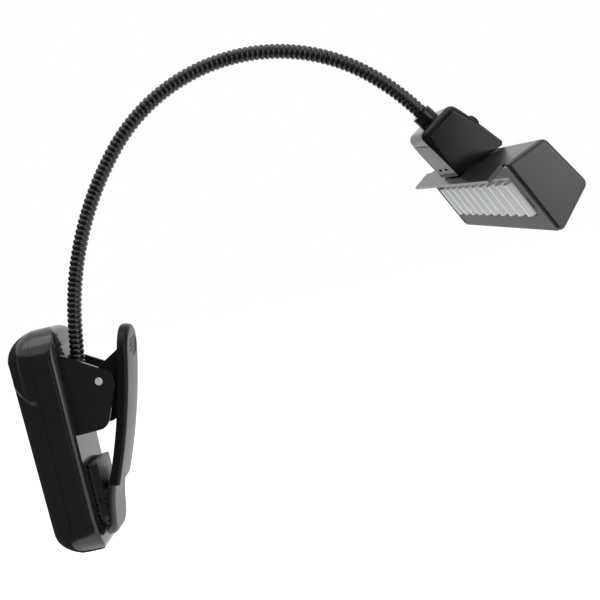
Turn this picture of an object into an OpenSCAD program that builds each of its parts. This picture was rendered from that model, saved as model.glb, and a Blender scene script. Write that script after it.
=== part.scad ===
// Clip-on reading lamp: a sprung clip with a battery body, a long gooseneck and a bar-shaped LED head.
// +Z runs up the battery body, +X points out of its clamping face and +Y runs along the lever's pin.
// The origin lies on the clamping face, mid-width, at the height set by body_below.

/* [Battery body] */
// Height of the body over all
body_h = 101.4; // [100:0.1:104]
// How far the body reaches below the origin
body_below = 16.2; // [16:0.1:17]
// Width of the body at its top
body_w = 38.4; // [37.5:0.1:44]
// Width that the body would have at its lower end without the rounding
body_low_w = 36.4; // [36:0.1:40]
// Depth of the body at its top, from the clamping face to the back
body_d = 23.4; // [23:0.1:26]
// Depth of the body at its lower end
body_low_d = 21.2; // [20.8:0.1:22.8]
// Radius of the two long edges at the back
back_edge_r = 11; // [9:0.1:11.4]
// Radius of the two long edges of the clamping face
face_edge_r = 3; // [2:0.1:3.5]
// Radius of the back's upper end
back_top_r = 14; // [12:0.1:16]
// Radius of the lower end seen from the front
tip_r = 17.6; // [15:0.1:17.8]
// Radius of the lower end's back edge seen from the side
tip_back_r = 14.5; // [8:0.1:15]
// Radius of the lower end's front edge seen from the side
tip_front_r = 5.5; // [4:0.1:5.8]
// Radius that rounds off the lower end's two back corners
tip_corner_r = 17; // [14:0.1:18]
// Radius that rounds off the upper end's two back corners
top_corner_r = 15; // [12:0.1:17]
// Radius of the upper end seen from the front
crown_r = 14; // [12:0.1:18]
// Radius of the upper front edge seen from the side
top_front_r = 4; // [3:0.1:5]
// Thickness of the casing walls
wall = 2; // [1.6:0.1:2.2]
// Depth of the front half of the casing, down to the parting line
front_half_d = 10.5; // [10:0.1:11.5]
// Distance from the top of the body down to the middle of the arched seam over the door
seam_z = 16.9; // [16.4:0.1:17.4]
// Radius of the arched seam
seam_r = 19.8; // [19.7:0.1:21]
// Gap round the battery door
door_gap = 0.3; // [0.2:0.05:0.35]

/* [Cells] */
// Length of one cell with its nub
cell_l = 44.2; // [43:0.1:44.5]
// Gap between two cells
cell_gap = 0.7; // [0.5:0.05:0.9]
// How far behind the clamping face the cells' middles lie
cell_depth = 11.4; // [11:0.1:12]
// Height of a pressed contact spring
contact_spring_h = 2.2; // [2:0.1:2.5]

/* [Clip] */
// Distance of the pivot pin from the clamping face
pin_x = 13.7; // [13.5:0.1:15]
// Height of the pivot pin above the origin
pin_z = 57.4; // [56.5:0.1:58]
// Radius of the pivot pin
pin_r = 1.65; // [1.5:0.05:1.8]
// Distance between the outer faces of the casing's two ears
ear_span = 22.8; // [22.8:0.1:24]
// Thickness of one ear
ear_t = 2; // [1.8:0.05:2]
// Width of the lever's bar
lever_w = 24.8; // [24.4:0.1:27]
// Thickness of the lever's bar
lever_t = 4.4; // [4:0.1:4.6]
// Distance from the pin to the middle of the bar's thickness
lever_offset = 10.3; // [9.9:0.1:10.5]
// Radius of the bar's curve along its length
lever_curve_r = 275; // [270:1:300]
// Length of the lever above the pin
lever_up = 24.4; // [23:0.1:25]
// Length of the lever below the pin
lever_down = 68; // [67.5:0.1:68.5]
// Lean of the lever at its pin, with the jaw closed
lever_lean = 13.5; // [13.3:0.1:13.7]
// Where the toe piece starts, below the pin
toe_start = 44; // [42:0.1:45]
// Thickness of one lever flange
flange_t = 1.9; // [1.7:0.05:1.9]
// Running clearance of the pins in their holes
pin_fit = 0.06; // [0.03:0.01:0.09]
// Gap between parts that slide past each other
slide_gap = 0.3; // [0.25:0.05:0.35]
// Radius of the torsion spring's wire
spring_wire_r = 0.6; // [0.5:0.05:0.65]
// Radius of the torsion spring's turns, to the middle of the wire
spring_turn_r = 3.5; // [3.3:0.1:3.6]

/* [Jaw foot] */
// Height of the foot's hinge above the origin
foot_z = 7.3; // [7:0.1:7.8]
// Length of the foot above its hinge
foot_up = 16.2; // [15:0.1:17]
// Length of the foot below its hinge
foot_down = 12.2; // [11:0.1:12.4]
// Width of the foot
foot_w = 22; // [21.6:0.1:24]
// Thickness of the foot's plate
foot_t = 2.7; // [2.5:0.1:2.8]
// Thickness of the rubber pad under the foot
foot_pad_t = 1.6; // [1.4:0.1:1.7]
// Radius of the foot's hinge pin
foot_pin_r = 0.9; // [0.8:0.05:1]
// Distance between two grip ridges on the rubber pad
grip_pitch = 2.4; // [2:0.1:3]

/* [Gooseneck] */
// Radius over the gooseneck's ridges
neck_r = 3.1; // [2.9:0.05:3.2]
// Radius of the channel for the leads
neck_bore_r = 1.9; // [1.8:0.05:2]
// Distance of the sleeve's mouth from the clamping face
neck_x = 3.5; // [3.3:0.1:3.7]
// Height of the sleeve's mouth above the origin
neck_z = 66; // [65.5:0.1:67]
// Lean of the gooseneck where it leaves the sleeve
neck_lean = 9.3; // [9:0.1:9.8]
// Length of the straight stretch above the sleeve
neck_straight = 15.5; // [15:0.1:17]
// Radius of the rising bend
rise_r = 143.3; // [138:0.1:148]
// Angle of the rising bend
rise_angle = 33; // [32:0.1:34]
// Radius of the bend over the top
crest_r = 83.1; // [80:0.1:86]
// Angle of the bend over the top
crest_angle = 59.1; // [58:0.1:60]
// Radius of the falling bend
fall_r = 82.5; // [80:0.1:85]
// Angle of the falling bend
fall_angle = 32.2; // [31:0.1:33]
// Radius of the last bend, just before the head
last_r = 104.7; // [100:0.1:108]
// Angle of the last bend
last_angle = 11.7; // [11:0.1:12.4]
// Turn of the last bend out of the gooseneck's plane
last_turn = 38.5; // [35:0.1:41]
// Length of the straight end inside the collar
neck_seat = 9; // [8.5:0.1:9.5]
// Clearance between the gooseneck's joints
neck_gap = 0.3; // [0.2:0.05:0.3]
// Radius of one lead
lead_r = 0.55; // [0.45:0.05:0.6]

/* [Head] */
// Length of the lamp head
head_l = 118; // [114:1:126]
// Wall of the lamp head's mouldings
head_wall = 1.8; // [1.5:0.1:1.9]
// Radius of the collar
collar_r = 4.6; // [4.5:0.1:4.9]
// Where the neck housing starts, measured from the collar's mouth
housing_z = 8.8; // [8.5:0.1:9]
// Width of the neck housing along the head
housing_w = 26; // [25.6:0.1:28]
// Depth of the shade at its top, from the rear wall to the front wall
shade_top_d = 24.9; // [24:0.1:26]
// Height of the shade from its top to its rear lower edge
shade_h = 17.4; // [17:0.1:18.2]
// Length of the lip that hangs below the rear wall
lip_l = 8.8; // [8:0.1:10]
// Radius of the switch button
button_r = 3; // [2.6:0.1:3.1]
// How far the button stands out of the housing
button_proud = 3.9; // [3:0.1:4.2]
// Travel of the switch button
button_travel = 1.2; // [1:0.1:1.3]
// Number of LEDs
led_count = 10; // [8:1:10]
// Distance from the end of the head to the end of the row of ribs
rib_row_end = 7.5; // [7.4:0.1:9]
// How far the lens ribs stand out of the lens
rib_proud = 1.7; // [1.4:0.1:1.8]

/* [Hidden] */
$fn = 48;

ARC_STEP = 13;     // largest turn between two points of a rounded corner, in degrees
SMALL = 0.01;      // overlap that joins two solids of one piece
fit_gap = 0.15;    // gap between fixed parts that fit into each other

body_low = -body_below;
body_top = body_h - body_below;
seam_top = body_top - seam_z;
led_pitch = (head_l - 2 * rib_row_end) / led_count;
black = [0.05, 0.05, 0.055];
steel = [0.75, 0.76, 0.78];

// ---- outlines with rounded corners ----
// A corner is [across, up, radius], and the corners run counter-clockwise.

function unit(v) = v / norm(v);
function left_of(v) = [-v[1], v[0]];
function place(c) = [c[0], c[1]];
function before(c, i) = place(c[(i + len(c) - 1) % len(c)]);
function after(c, i) = place(c[(i + 1) % len(c)]);
function way_in(c, i) = unit(place(c[i]) - before(c, i));
function way_out(c, i) = unit(after(c, i) - place(c[i]));
function turned(v, a) = [v[0] * cos(a) - v[1] * sin(a), v[0] * sin(a) + v[1] * cos(a)];
function turn_at(c, i) =
    let (a = way_in(c, i), b = way_out(c, i))
    atan2(a[0] * b[1] - a[1] * b[0], a * b);

// The corner's arc, as points
function corner_arc(c, i) =
    let (
        turn = turn_at(c, i),
        side = sign(turn),
        a = way_in(c, i),
        r = c[i][2],
        middle = place(c[i]) - a * r * tan(abs(turn) / 2) + left_of(a) * side * r,
        steps = max(1, ceil(abs(turn) / ARC_STEP))
    )
    r < 0.05 ? [place(c[i])]
    : [for (k = [0:steps]) middle - turned(left_of(a), turn * k / steps) * side * r];
function rounded(c) = [for (i = [0:len(c) - 1]) each corner_arc(c, i)];

// The same outline with every side moved inwards by w
function inset_corner(c, i, w) =
    let (
        a = left_of(way_in(c, i)),
        b = left_of(way_out(c, i)),
        p = place(c[i]) + (a + b) * w / (1 + a * b)
    )
    [p[0], p[1], max(c[i][2] - sign(turn_at(c, i)) * w, 0)];
function inset(c, w) = [for (i = [0:len(c) - 1]) inset_corner(c, i, w)];

// An outline in X and Z, made a solid that runs from y0 to y1
module side_plate(points, y0, y1) {
    translate([0, y1, 0])
        rotate([90, 0, 0])
        linear_extrude(y1 - y0)
        polygon(points);
}

// An outline in Y and Z, made a solid that runs from x0 to x1
module front_plate(points, x0, x1) {
    translate([x0, 0, 0])
        rotate([90, 0, 90])
        linear_extrude(x1 - x0)
        polygon(points);
}

module box(low, high) {
    translate(low) cube(high - low);
}

// A straight round bar between two points
module bar(from, to, r) {
    d = to - from;
    translate(from)
        rotate([0, acos(d[2] / norm(d)), atan2(d[1], d[0])])
        cylinder(r = r, h = norm(d));
}

// A wire with twelve flat sides along a list of points, whose runs overlap a little at each elbow
module wire(points, r) {
    last = len(points) - 1;
    for (i = [1:last]) {
        run = unit(points[i] - points[i - 1]) * r / 2;
        bar(points[i - 1] - (i > 1 ? run : 0 * run), points[i] + (i < last ? run : 0 * run), r, $fn = 12);
    }
}

// ---- battery body ----

side_corners = [
    [-body_low_d, body_low, tip_back_r],
    [0, body_low, tip_front_r],
    [0, body_top, top_front_r],
    [-body_d, body_top, back_top_r]
];
tip_side_r = min(tip_r, body_low_w / 2 - 0.4);
top_side_r = min(crown_r, body_w / 2 - 0.4);
front_corners = [
    [-body_low_w / 2, body_low, tip_side_r],
    [body_low_w / 2, body_low, tip_side_r],
    [body_w / 2, body_top, top_side_r],
    [-body_w / 2, body_top, top_side_r]
];

// A block with one rounded edge that follows the casing's long edge from its lower to its upper end.
// The block fills the side towards the middle of the casing.
module long_edge(low, high, r, w) {
    lean_x = atan2(high[0] - low[0], body_h);
    lean_y = atan2(high[1] - low[1], body_h);
    s = -sign(low[1]);
    d = low[0] < -1 ? 1 : -1;
    size = 80;
    points = rounded(inset([[0, 0, r], [size, 0, 0], [size, size, 0], [0, size, 0]], w));
    translate([low[0], low[1], body_low])
        rotate([-lean_y, lean_x, 0])
        translate([0, 0, -5])
        mirror([d < 0 ? 1 : 0, 0, 0])
        mirror([0, s < 0 ? 1 : 0, 0])
        linear_extrude(body_h + 10)
        polygon(points);
}

// How far a back corner reaches along the slant between the back and one side
function slant_reach(d, w) = (d + w / 2 - 2 * back_edge_r) * sin(45) + back_edge_r;
slant_corners = [
    [-100, body_low, 0],
    [slant_reach(body_low_d, body_low_w), body_low, tip_corner_r],
    [slant_reach(body_d, body_w), body_top, top_corner_r],
    [-100, body_top, 0]
];

// The whole casing's form, made smaller all round by w
module body_form(w) {
    intersection() {
        side_plate(rounded(inset(side_corners, w)), -body_w, body_w);
        front_plate(rounded(inset(front_corners, w)), -body_d - 1, 1);
        long_edge([-body_low_d, -body_low_w / 2], [-body_d, -body_w / 2], back_edge_r, w);
        long_edge([-body_low_d, body_low_w / 2], [-body_d, body_w / 2], back_edge_r, w);
        long_edge([0, -body_low_w / 2], [0, -body_w / 2], face_edge_r, w);
        long_edge([0, body_low_w / 2], [0, body_w / 2], face_edge_r, w);
        rotate([0, 0, 135]) side_plate(rounded(inset(slant_corners, w)), -body_w, body_w);
        rotate([0, 0, 225]) side_plate(rounded(inset(slant_corners, w)), -body_w, body_w);
    }
}

module body_walls() {
    difference() {
        body_form(0);
        body_form(wall);
    }
}

// Everything above the arched seam, grown by gap
module above_seam(gap) {
    difference() {
        box([-body_d - 1, -body_w, seam_top - seam_r], [0, body_w, body_top + 1]);
        translate([-body_d - 2, 0, seam_top - seam_r])
            rotate([0, 90, 0])
            cylinder(r = seam_r - gap, h = body_d + 3, $fn = 96);
    }
}

// Cell bay: the end walls, and where the cells stand between them
bay_wall = 1.4;
plate_t = 0.4;
rib_inset = 12;
bay_low = 0.2;
bay_high = bay_low + 2 * (bay_wall + plate_t) + cell_l + contact_spring_h + 2 * fit_gap;
cells_low = bay_low + bay_wall + plate_t + contact_spring_h + fit_gap;
cells_high = bay_high - bay_wall - plate_t - contact_spring_h - fit_gap;
cell_side_gap = 0.1;
bay_inside = body_low_w - 2 * wall + (body_w - body_low_w) * (body_below + bay_low) / body_h - 2 * cell_side_gap;
cell_r = (bay_inside - 2 * cell_gap) / 6;
cell_pitch = 2 * cell_r + cell_gap;
cell_places = [-cell_pitch, 0, cell_pitch];
bay_half_w = cell_pitch + cell_r + 0.4;
bay_back = cell_depth + 3.4;

// Cover screws, one each side of the gooseneck
screw_drop = 12.2;
screw_z = body_top - screw_drop;
screw_y = 8.6;
screw_r = 1.1;
screw_head_r = 2.3;
screw_head_h = 1.6;
screw_sink = 2.8;
post_r = 3;

module at_cover_screws() {
    for (s = [-1, 1])
        translate([0, s * screw_y, screw_z])
            rotate([0, -90, 0])
            children();
}

// Ears that hold the lever's pin
ear_y = ear_span / 2;
ear_corners = [
    [-wall / 2, 36.6, 0],
    [pin_x - 0.9, 36.9, 5],
    [pin_x + 6.7, pin_z - 2.4, 1.5],
    [pin_x + 6.2, pin_z + 2.7, 2.5],
    [pin_x + 1.2, pin_z + 5.8, 0],
    [-wall / 2, 72.6, 0]
];

module neck_root_frame() {
    translate([neck_x, 0, neck_z])
        rotate([0, neck_lean, 0])
        children();
}

sleeve_r = 4.5;
sleeve_l = 13;
boss_w = 13;
boss_top = neck_z - 2.6;
boss_low = neck_z - sleeve_l - 1;
lead_hole_low = boss_low - 1.3;

module inner_shell() {
    color(black)
        difference() {
            union() {
                intersection() {
                    body_walls();
                    box([-front_half_d, -body_w, body_low - 1], [1, body_w, body_top + 1]);
                }
                for (s = [-1, 1])
                    side_plate(rounded(ear_corners), s * (ear_y - ear_t / 2) - ear_t / 2,
                        s * (ear_y - ear_t / 2) + ear_t / 2);
                box([-wall, -boss_w / 2, boss_low], [neck_x + 5.1, boss_w / 2, boss_top]);
                intersection() {
                    body_form(wall - SMALL);
                    union() {
                        for (z = [bay_low, bay_high - bay_wall])
                            box([-front_half_d, -bay_half_w, z], [-wall / 2, bay_half_w, z + bay_wall]);
                        for (z = [bay_low + rib_inset, bay_high - rib_inset - bay_wall])
                            box([-cell_depth + 2, -bay_half_w, z], [-wall / 2, bay_half_w, z + bay_wall]);
                    }
                }
                intersection() {
                    body_form(wall + slide_gap);
                    for (z = [bay_low, bay_high - bay_wall])
                        box([-bay_back, -bay_half_w, z], [-front_half_d + 1, bay_half_w, z + bay_wall]);
                }
                at_cover_screws()
                    translate([0, 0, wall / 2])
                    cylinder(r = post_r, h = front_half_d - wall / 2);
            }
            for (y = cell_places)
                translate([-cell_depth, y, cells_low - contact_spring_h - fit_gap / 2])
                    cylinder(r = cell_r + fit_gap, h = cells_high - cells_low + 2 * contact_spring_h + fit_gap);
            neck_root_frame()
                translate([0, 0, -sleeve_l - fit_gap])
                cylinder(r = sleeve_r + fit_gap / 3, h = sleeve_l + 10);
            box([-wall - 1, -neck_bore_r - 0.6, lead_hole_low - slide_gap],
                [neck_x, neck_bore_r + 0.6, neck_z - sleeve_l + fit_gap]);
            translate([pin_x, 0, pin_z])
                rotate([90, 0, 0])
                cylinder(r = pin_r + pin_fit / 2, h = ear_span + 4, center = true);
            at_cover_screws()
                translate([0, 0, wall + 1])
                cylinder(r = screw_r + 0.03, h = front_half_d);
        }
}

module outer_cover() {
    color(black)
        difference() {
            union() {
                intersection() {
                    body_walls();
                    box([-body_d - 1, -body_w, body_low], [-front_half_d, body_w, body_top + 1]);
                    above_seam(0);
                }
                intersection() {
                    body_form(wall / 2);
                    at_cover_screws()
                        translate([0, 0, front_half_d])
                        cylinder(r = post_r, h = body_d);
                }
            }
            at_cover_screws() {
                cylinder(r = screw_r + fit_gap, h = body_d + 1);
                translate([0, 0, body_d - screw_head_h - screw_sink])
                    cylinder(r = screw_head_r + fit_gap, h = body_d);
            }
        }
}

latch_w = 10;
latch_t = 1.2;

module battery_door() {
    color(black)
        union() {
            intersection() {
                body_walls();
                difference() {
                    box([-body_d - 1, -body_w, body_low - 1], [-front_half_d - door_gap, body_w, seam_top + 1]);
                    above_seam(door_gap);
                }
            }
            intersection() {
                body_form(wall + slide_gap);
                box([-body_d, -latch_w / 2, seam_top - 9], [-body_d + wall + slide_gap + latch_t + 0.6,
                    latch_w / 2, seam_top + 3]);
            }
            intersection() {
                body_form(wall - SMALL);
                box([-body_d, -latch_w / 2, seam_top - 9], [-body_d + wall + slide_gap + latch_t + 0.6,
                    latch_w / 2, seam_top - 4]);
            }
        }
}

nub_h = 0.9;
nub_r = 1.9;

// One cell from its flat end, with the nub last
module cell() {
    cylinder(r = cell_r, h = cell_l - nub_h);
    cylinder(r = nub_r, h = cell_l);
}

module battery_cells() {
    color([0.28, 0.42, 0.35])
        for (i = [0:2])
            translate([-cell_depth, cell_places[i], 0])
                if (i == 1)
                    translate([0, 0, bay_high - bay_wall - plate_t - contact_spring_h - fit_gap])
                        mirror([0, 0, 1])
                        cell();
                else
                    translate([0, 0, cells_low]) cell();
}

// One contact spring with its turns pressed together, narrowing upwards
module contact_spring() {
    turns = 3;
    rise = contact_spring_h / turns;
    for (i = [0:turns - 1])
        translate([0, 0, rise * (i + 0.5)])
            rotate_extrude()
            translate([3.2 - 0.35 * i, 0])
            circle(r = rise * 0.62, $fn = 16);
}

module contact_springs() {
    color(steel)
        for (i = [0:2])
            translate([-cell_depth, cell_places[i], 0])
                intersection() {
                    if (i == 1)
                        translate([0, 0, bay_high - bay_wall - plate_t]) mirror([0, 0, 1]) contact_spring();
                    else
                        translate([0, 0, bay_low + bay_wall + plate_t]) contact_spring();
                    box([-9, -9, bay_low + bay_wall + plate_t], [9, 9, bay_high - bay_wall - plate_t]);
                }
}

// A contact plate behind one or two cells
plate_half = cell_r * 0.76;
module contact_plate(y0, y1, z) {
    box([-cell_depth - plate_half, y0 - plate_half, z], [-cell_depth + plate_half, y1 + plate_half, z + plate_t]);
}

module contact_plates() {
    color(steel) {
        contact_plate(-cell_pitch, -cell_pitch, bay_high - bay_wall - plate_t);
        contact_plate(0, cell_pitch, bay_high - bay_wall - plate_t);
        contact_plate(-cell_pitch, 0, bay_low + bay_wall);
        contact_plate(cell_pitch, cell_pitch, bay_low + bay_wall);
    }
}

module screw(length, r, head_r, head_h) {
    cylinder(r = r, h = length + SMALL);
    translate([0, 0, length]) cylinder(r = head_r, h = head_h);
}

module cross_slot(size, depth) {
    for (a = [0, 90])
        rotate([0, 0, a])
            translate([-size / 2, -0.35, -depth])
            cube([size, 0.7, depth + 1]);
}

cover_screw_end = body_d - screw_head_h - screw_sink - 0.02;

module cover_screws() {
    color(steel)
        at_cover_screws()
            difference() {
                translate([0, 0, wall + 2])
                    screw(cover_screw_end - wall - 2 + 0.02, screw_r, screw_head_r, screw_head_h);
                translate([0, 0, cover_screw_end + screw_head_h]) cross_slot(2.6, 0.9);
            }
}

module body_leads() {
    color([0.7, 0.12, 0.1])
        for (s = [-1, 1])
            wire([
                [neck_x - sleeve_l * sin(neck_lean), s * 0.8, lead_hole_low + lead_r + slide_gap],
                [-wall - 1.6, s * 1.6, lead_hole_low + lead_r],
                [-wall - 2.4, s * cell_pitch / 2, bay_high + lead_r + fit_gap],
                [-bay_back + 2, s * cell_pitch, bay_high + lead_r + fit_gap]
            ], lead_r);
}

module neck_sleeve() {
    color(steel)
        neck_root_frame()
        translate([0, 0, -sleeve_l])
        difference() {
            cylinder(r = sleeve_r, h = sleeve_l);
            translate([0, 0, 1]) cylinder(r = neck_r + 0.03, h = sleeve_l);
            translate([0, 0, -1]) cylinder(r = neck_bore_r, h = 3);
        }
}

// ---- lever and its spring ----

module at_pin() {
    translate([pin_x, 0, pin_z]) children();
}

module lever_frame() {
    at_pin() rotate([0, lever_lean, 0]) children();
}

module pivot_pin() {
    color(steel)
        at_pin()
        rotate([90, 0, 0])
        cylinder(r = pin_r, h = ear_span + 0.8, center = true);
}

flange_out = ear_y - ear_t - slide_gap;
flange_in = flange_out - flange_t;
spring_half_w = flange_in - 0.8;
body_leg_end = [spring_wire_r + slide_gap, -spring_half_w + spring_wire_r, 43];
moving_turn_y = spring_half_w - spring_wire_r;
coil_end_y = moving_turn_y - spring_wire_r - slide_gap;

// Outline of the pressed-together turns, for turning round the pin
function coil_outline() =
    let (
        low = -spring_half_w,
        turns = floor((coil_end_y - low) / (2 * spring_wire_r)),
        pitch = (coil_end_y - low) / turns
    )
    concat(
        [for (i = [0:turns - 1]) each [
            [spring_turn_r + spring_wire_r * 0.5, low + pitch * i],
            [spring_turn_r + spring_wire_r, low + pitch * (i + 0.3)],
            [spring_turn_r + spring_wire_r, low + pitch * (i + 0.7)]
        ]],
        [
            [spring_turn_r + spring_wire_r * 0.5, low + pitch * turns],
            [spring_turn_r - spring_wire_r, low + pitch * turns],
            [spring_turn_r - spring_wire_r, low]
        ]
    );

// The turns that stand still, with the leg that leans on the casing
module torsion_spring() {
    color(steel)
        union() {
            at_pin()
                rotate([90, 0, 0])
                mirror([0, 0, 1])
                rotate_extrude()
                polygon(coil_outline());
            bar([pin_x - spring_turn_r * 0.5, body_leg_end[1], pin_z - spring_turn_r * 0.86], body_leg_end,
                spring_wire_r);
        }
}

// The spring's last turn, with the leg that follows the lever
module spring_lever_leg() {
    leg_z = lever_up - 8;
    leg_x = bar_inner_x(leg_z) - spring_wire_r - slide_gap;
    color(steel)
        union() {
            at_pin()
                translate([0, moving_turn_y, 0])
                rotate([90, 0, 0])
                rotate_extrude()
                translate([spring_turn_r, 0])
                circle(r = spring_wire_r, $fn = 24);
            lever_frame() bar([spring_turn_r, moving_turn_y, 0], [leg_x, moving_turn_y, leg_z], spring_wire_r);
        }
}

// How far the bar's inner face lies from the pin at a height along the lever
function bar_inner_x(z) = lever_offset - lever_curve_r + sqrt(pow(lever_curve_r - lever_t / 2, 2) - z * z);

lever_outline = [
    [-lever_w / 2 + 0.6, -lever_down, 9.5],
    [lever_w / 2 - 0.6, -lever_down, 9.5],
    [lever_w / 2, lever_up, 12],
    [-lever_w / 2, lever_up, 12]
];

// The curved bar of the lever
module lever_bar() {
    span = 2 * asin((lever_down + 4) / lever_curve_r);
    intersection() {
        translate([lever_offset - lever_curve_r, 0, 0])
            rotate([90, 0, 0])
            rotate([0, 0, -span / 2])
            rotate_extrude(angle = span, $fn = 96)
            translate([lever_curve_r - lever_t / 2, -lever_w])
            square([lever_t, 2 * lever_w]);
        front_plate(rounded(lever_outline), -20, 20);
    }
}

flange_corners = [
    [8.2, -15.4, 0],
    [8.2, 15.4, 0],
    [-0.6, 6.4, 3],
    [-5.4, 4, 3.5],
    [-5.4, -4, 3.5],
    [2.4, -8, 3]
];
toe_cut = 6;

// The lever's half-space above the toe's slanted seam, moved up by gap
module above_toe(gap) {
    translate([0, 0, -toe_start + gap])
        rotate([0, toe_cut, 0])
        box([-30, -30, 0], [40, 30, 100]);
}

module lever() {
    color(black)
        lever_frame()
        difference() {
            union() {
                intersection() {
                    lever_bar();
                    above_toe(0);
                }
                for (s = [-1, 1])
                    side_plate(rounded(flange_corners), s * (flange_in + flange_t / 2) - flange_t / 2,
                        s * (flange_in + flange_t / 2) + flange_t / 2);
            }
            rotate([90, 0, 0]) cylinder(r = pin_r + pin_fit, h = ear_span, center = true);
            translate([bar_inner_x(12) + lever_t + 1.4, 0, 12])
                rotate([0, 90, 0])
                rotate_extrude()
                polygon([[0, -3], [3.4, -2.4], [4.2, 0.5], [0, 0.5]]);
        }
}

// Foot hinge in the row's axes
foot_back_x = slide_gap + foot_pad_t + foot_t;
lug_r = 2.3;
lug_t = 1.9;
lug_in = foot_w / 2 - lug_t;
toe_inset = 0.7;

module at_foot_pin() {
    translate([foot_back_x, 0, foot_z]) children();
}

toe_side = [
    [foot_back_x - 3.4, foot_z - 17.2, 1.5],
    [foot_back_x + 0.9, foot_z - 17.2, 3],
    [foot_back_x + 2.3, foot_z - 8, 8],
    [foot_back_x + 3.6, foot_z - 1, 12],
    [foot_back_x + 6.8, foot_z + 8.4, 0],
    [foot_back_x + 2.8, foot_z + 8.4, 0],
    [foot_back_x + 0.5, foot_z - 3, 4],
    [foot_back_x - 0.1, foot_z - 11.5, 1],
    [foot_back_x - 3.4, foot_z - 13.6, 1]
];

module lever_toe() {
    color([0.06, 0.06, 0.065])
        difference() {
            union() {
                intersection() {
                    side_plate(rounded(toe_side), -lever_w / 2 + toe_inset, lever_w / 2 - toe_inset);
                    lever_frame()
                        difference() {
                            front_plate(rounded(inset(lever_outline, 0.4)), -30, 20);
                            above_toe(-fit_gap);
                        }
                }
                for (s = [-1, 1])
                    translate([0, s * (lug_in + lug_t / 2), 0])
                        at_foot_pin()
                        rotate([90, 0, 0])
                        linear_extrude(lug_t, center = true)
                        union() {
                            circle(r = lug_r);
                            polygon([[1.2, 1.9], [0.9, -2.1], [3, -1.5], [3.9, 4.2], [3.2, 5]]);
                        }
            }
            at_foot_pin()
                rotate([90, 0, 0]) {
                    cylinder(r = foot_pin_r + pin_fit / 2, h = 2 * lever_w, center = true);
                    cylinder(r = lug_r + slide_gap, h = 2 * lug_in, center = true);
                }
        }
}

foot_side = [
    [foot_back_x - foot_t, foot_z - foot_down, 0],
    [foot_back_x - 1.2, foot_z - foot_down + 0.4, 0.5],
    [foot_back_x, foot_z - foot_down + 6, 0],
    [foot_back_x, foot_z + foot_up, 0.6],
    [foot_back_x - foot_t, foot_z + foot_up, 0]
];
foot_front = [
    [-foot_w / 2, foot_z - foot_down, 6],
    [foot_w / 2, foot_z - foot_down, 6],
    [foot_w / 2, foot_z + foot_up, 1.2],
    [-foot_w / 2, foot_z + foot_up, 1.2]
];

module jaw_foot() {
    color([0.07, 0.07, 0.075])
        difference() {
            union() {
                intersection() {
                    side_plate(rounded(foot_side), -foot_w, foot_w);
                    front_plate(rounded(foot_front), -5, 20);
                }
                at_foot_pin()
                    rotate([90, 0, 0])
                    cylinder(r = lug_r - 0.1, h = 2 * (lug_in - slide_gap), center = true);
            }
            translate([foot_back_x, 0, foot_z])
                rotate([90, 0, 0])
                cylinder(r = foot_pin_r + pin_fit, h = 2 * foot_w, center = true);
            for (s = [-1, 1])
                translate([0, s * (lug_in - slide_gap + 10), 0])
                    at_foot_pin()
                    rotate([90, 0, 0])
                    cylinder(r = lug_r + slide_gap, h = 20, center = true);
            box([-5, -30, -30], [slide_gap + foot_pad_t, 30, 60]);
        }
}

module jaw_foot_pin() {
    color(steel)
        at_foot_pin()
        rotate([90, 0, 0])
        cylinder(r = foot_pin_r, h = foot_w, center = true);
}

module jaw_foot_pad() {
    pad_low = foot_z - foot_down + 0.4;
    pad_high = foot_z + foot_up - 0.2;
    color([0.02, 0.02, 0.022])
        difference() {
            intersection() {
                box([slide_gap, -foot_w, pad_low], [slide_gap + foot_pad_t, foot_w, pad_high]);
                front_plate(rounded(inset(foot_front, 0.4)), -5, 20);
            }
            for (z = [pad_low + grip_pitch:grip_pitch:pad_high - 1])
                translate([slide_gap, 0, z])
                    rotate([0, 45, 0])
                    cube([0.8, 60, 0.8], center = true);
        }
}

// ---- gooseneck ----
// A stretch is [radius, angle, turn] for a bend, or [length, 0, 0] for a straight run.

neck_stretches = [
    [neck_straight, 0, 0],
    [rise_r, rise_angle / 2, 0],
    [rise_r, rise_angle / 2, 0],
    [crest_r, crest_angle / 2, 0],
    [crest_r, crest_angle / 2, 0],
    [fall_r, fall_angle, 0],
    [last_r, last_angle, last_turn],
    [neck_seat, 0, 0]
];

// Moves to the far end of one stretch
module past(s) {
    if (s[1] == 0)
        translate([0, 0, s[0]]) children();
    else
        rotate([0, 0, s[2]])
            translate([s[0], 0, 0])
            rotate([0, s[1], 0])
            translate([-s[0], 0, 0])
            rotate([0, 0, -s[2]])
            children();
}

// Moves to the start of stretch n
module along_neck(n) {
    if (n == 0)
        neck_root_frame() children();
    else
        along_neck(n - 1) past(neck_stretches[n - 1]) children();
}

// The solid that one section sweeps along one stretch
module swept(s) {
    if (s[1] == 0)
        linear_extrude(s[0]) children();
    else
        rotate([0, 0, s[2]])
            translate([s[0], 0, 0])
            rotate([90, 0, 0])
            rotate([0, 0, 180 - s[1]])
            rotate_extrude(angle = s[1], $fn = 96)
            translate([s[0], 0])
            children();
}

module neck_disc() {
    circle(r = neck_r);
}

// A piece of the gooseneck over the stretches from first to last, with a cup and a ball at its joints
module neck_piece(first, last, cup, ball) {
    color([0.06, 0.06, 0.065])
        difference() {
            union() {
                for (i = [first:last])
                    along_neck(i) swept(neck_stretches[i]) neck_disc();
                if (ball)
                    along_neck(last + 1) sphere(r = neck_r);
            }
            for (i = [first:last])
                along_neck(i) swept(neck_stretches[i]) circle(r = neck_bore_r);
            if (cup)
                along_neck(first) sphere(r = neck_r + neck_gap);
            if (ball)
                along_neck(last + 1)
                    cylinder(r1 = neck_bore_r, r2 = neck_bore_r + 0.7, h = neck_r + 1);
        }
}

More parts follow.
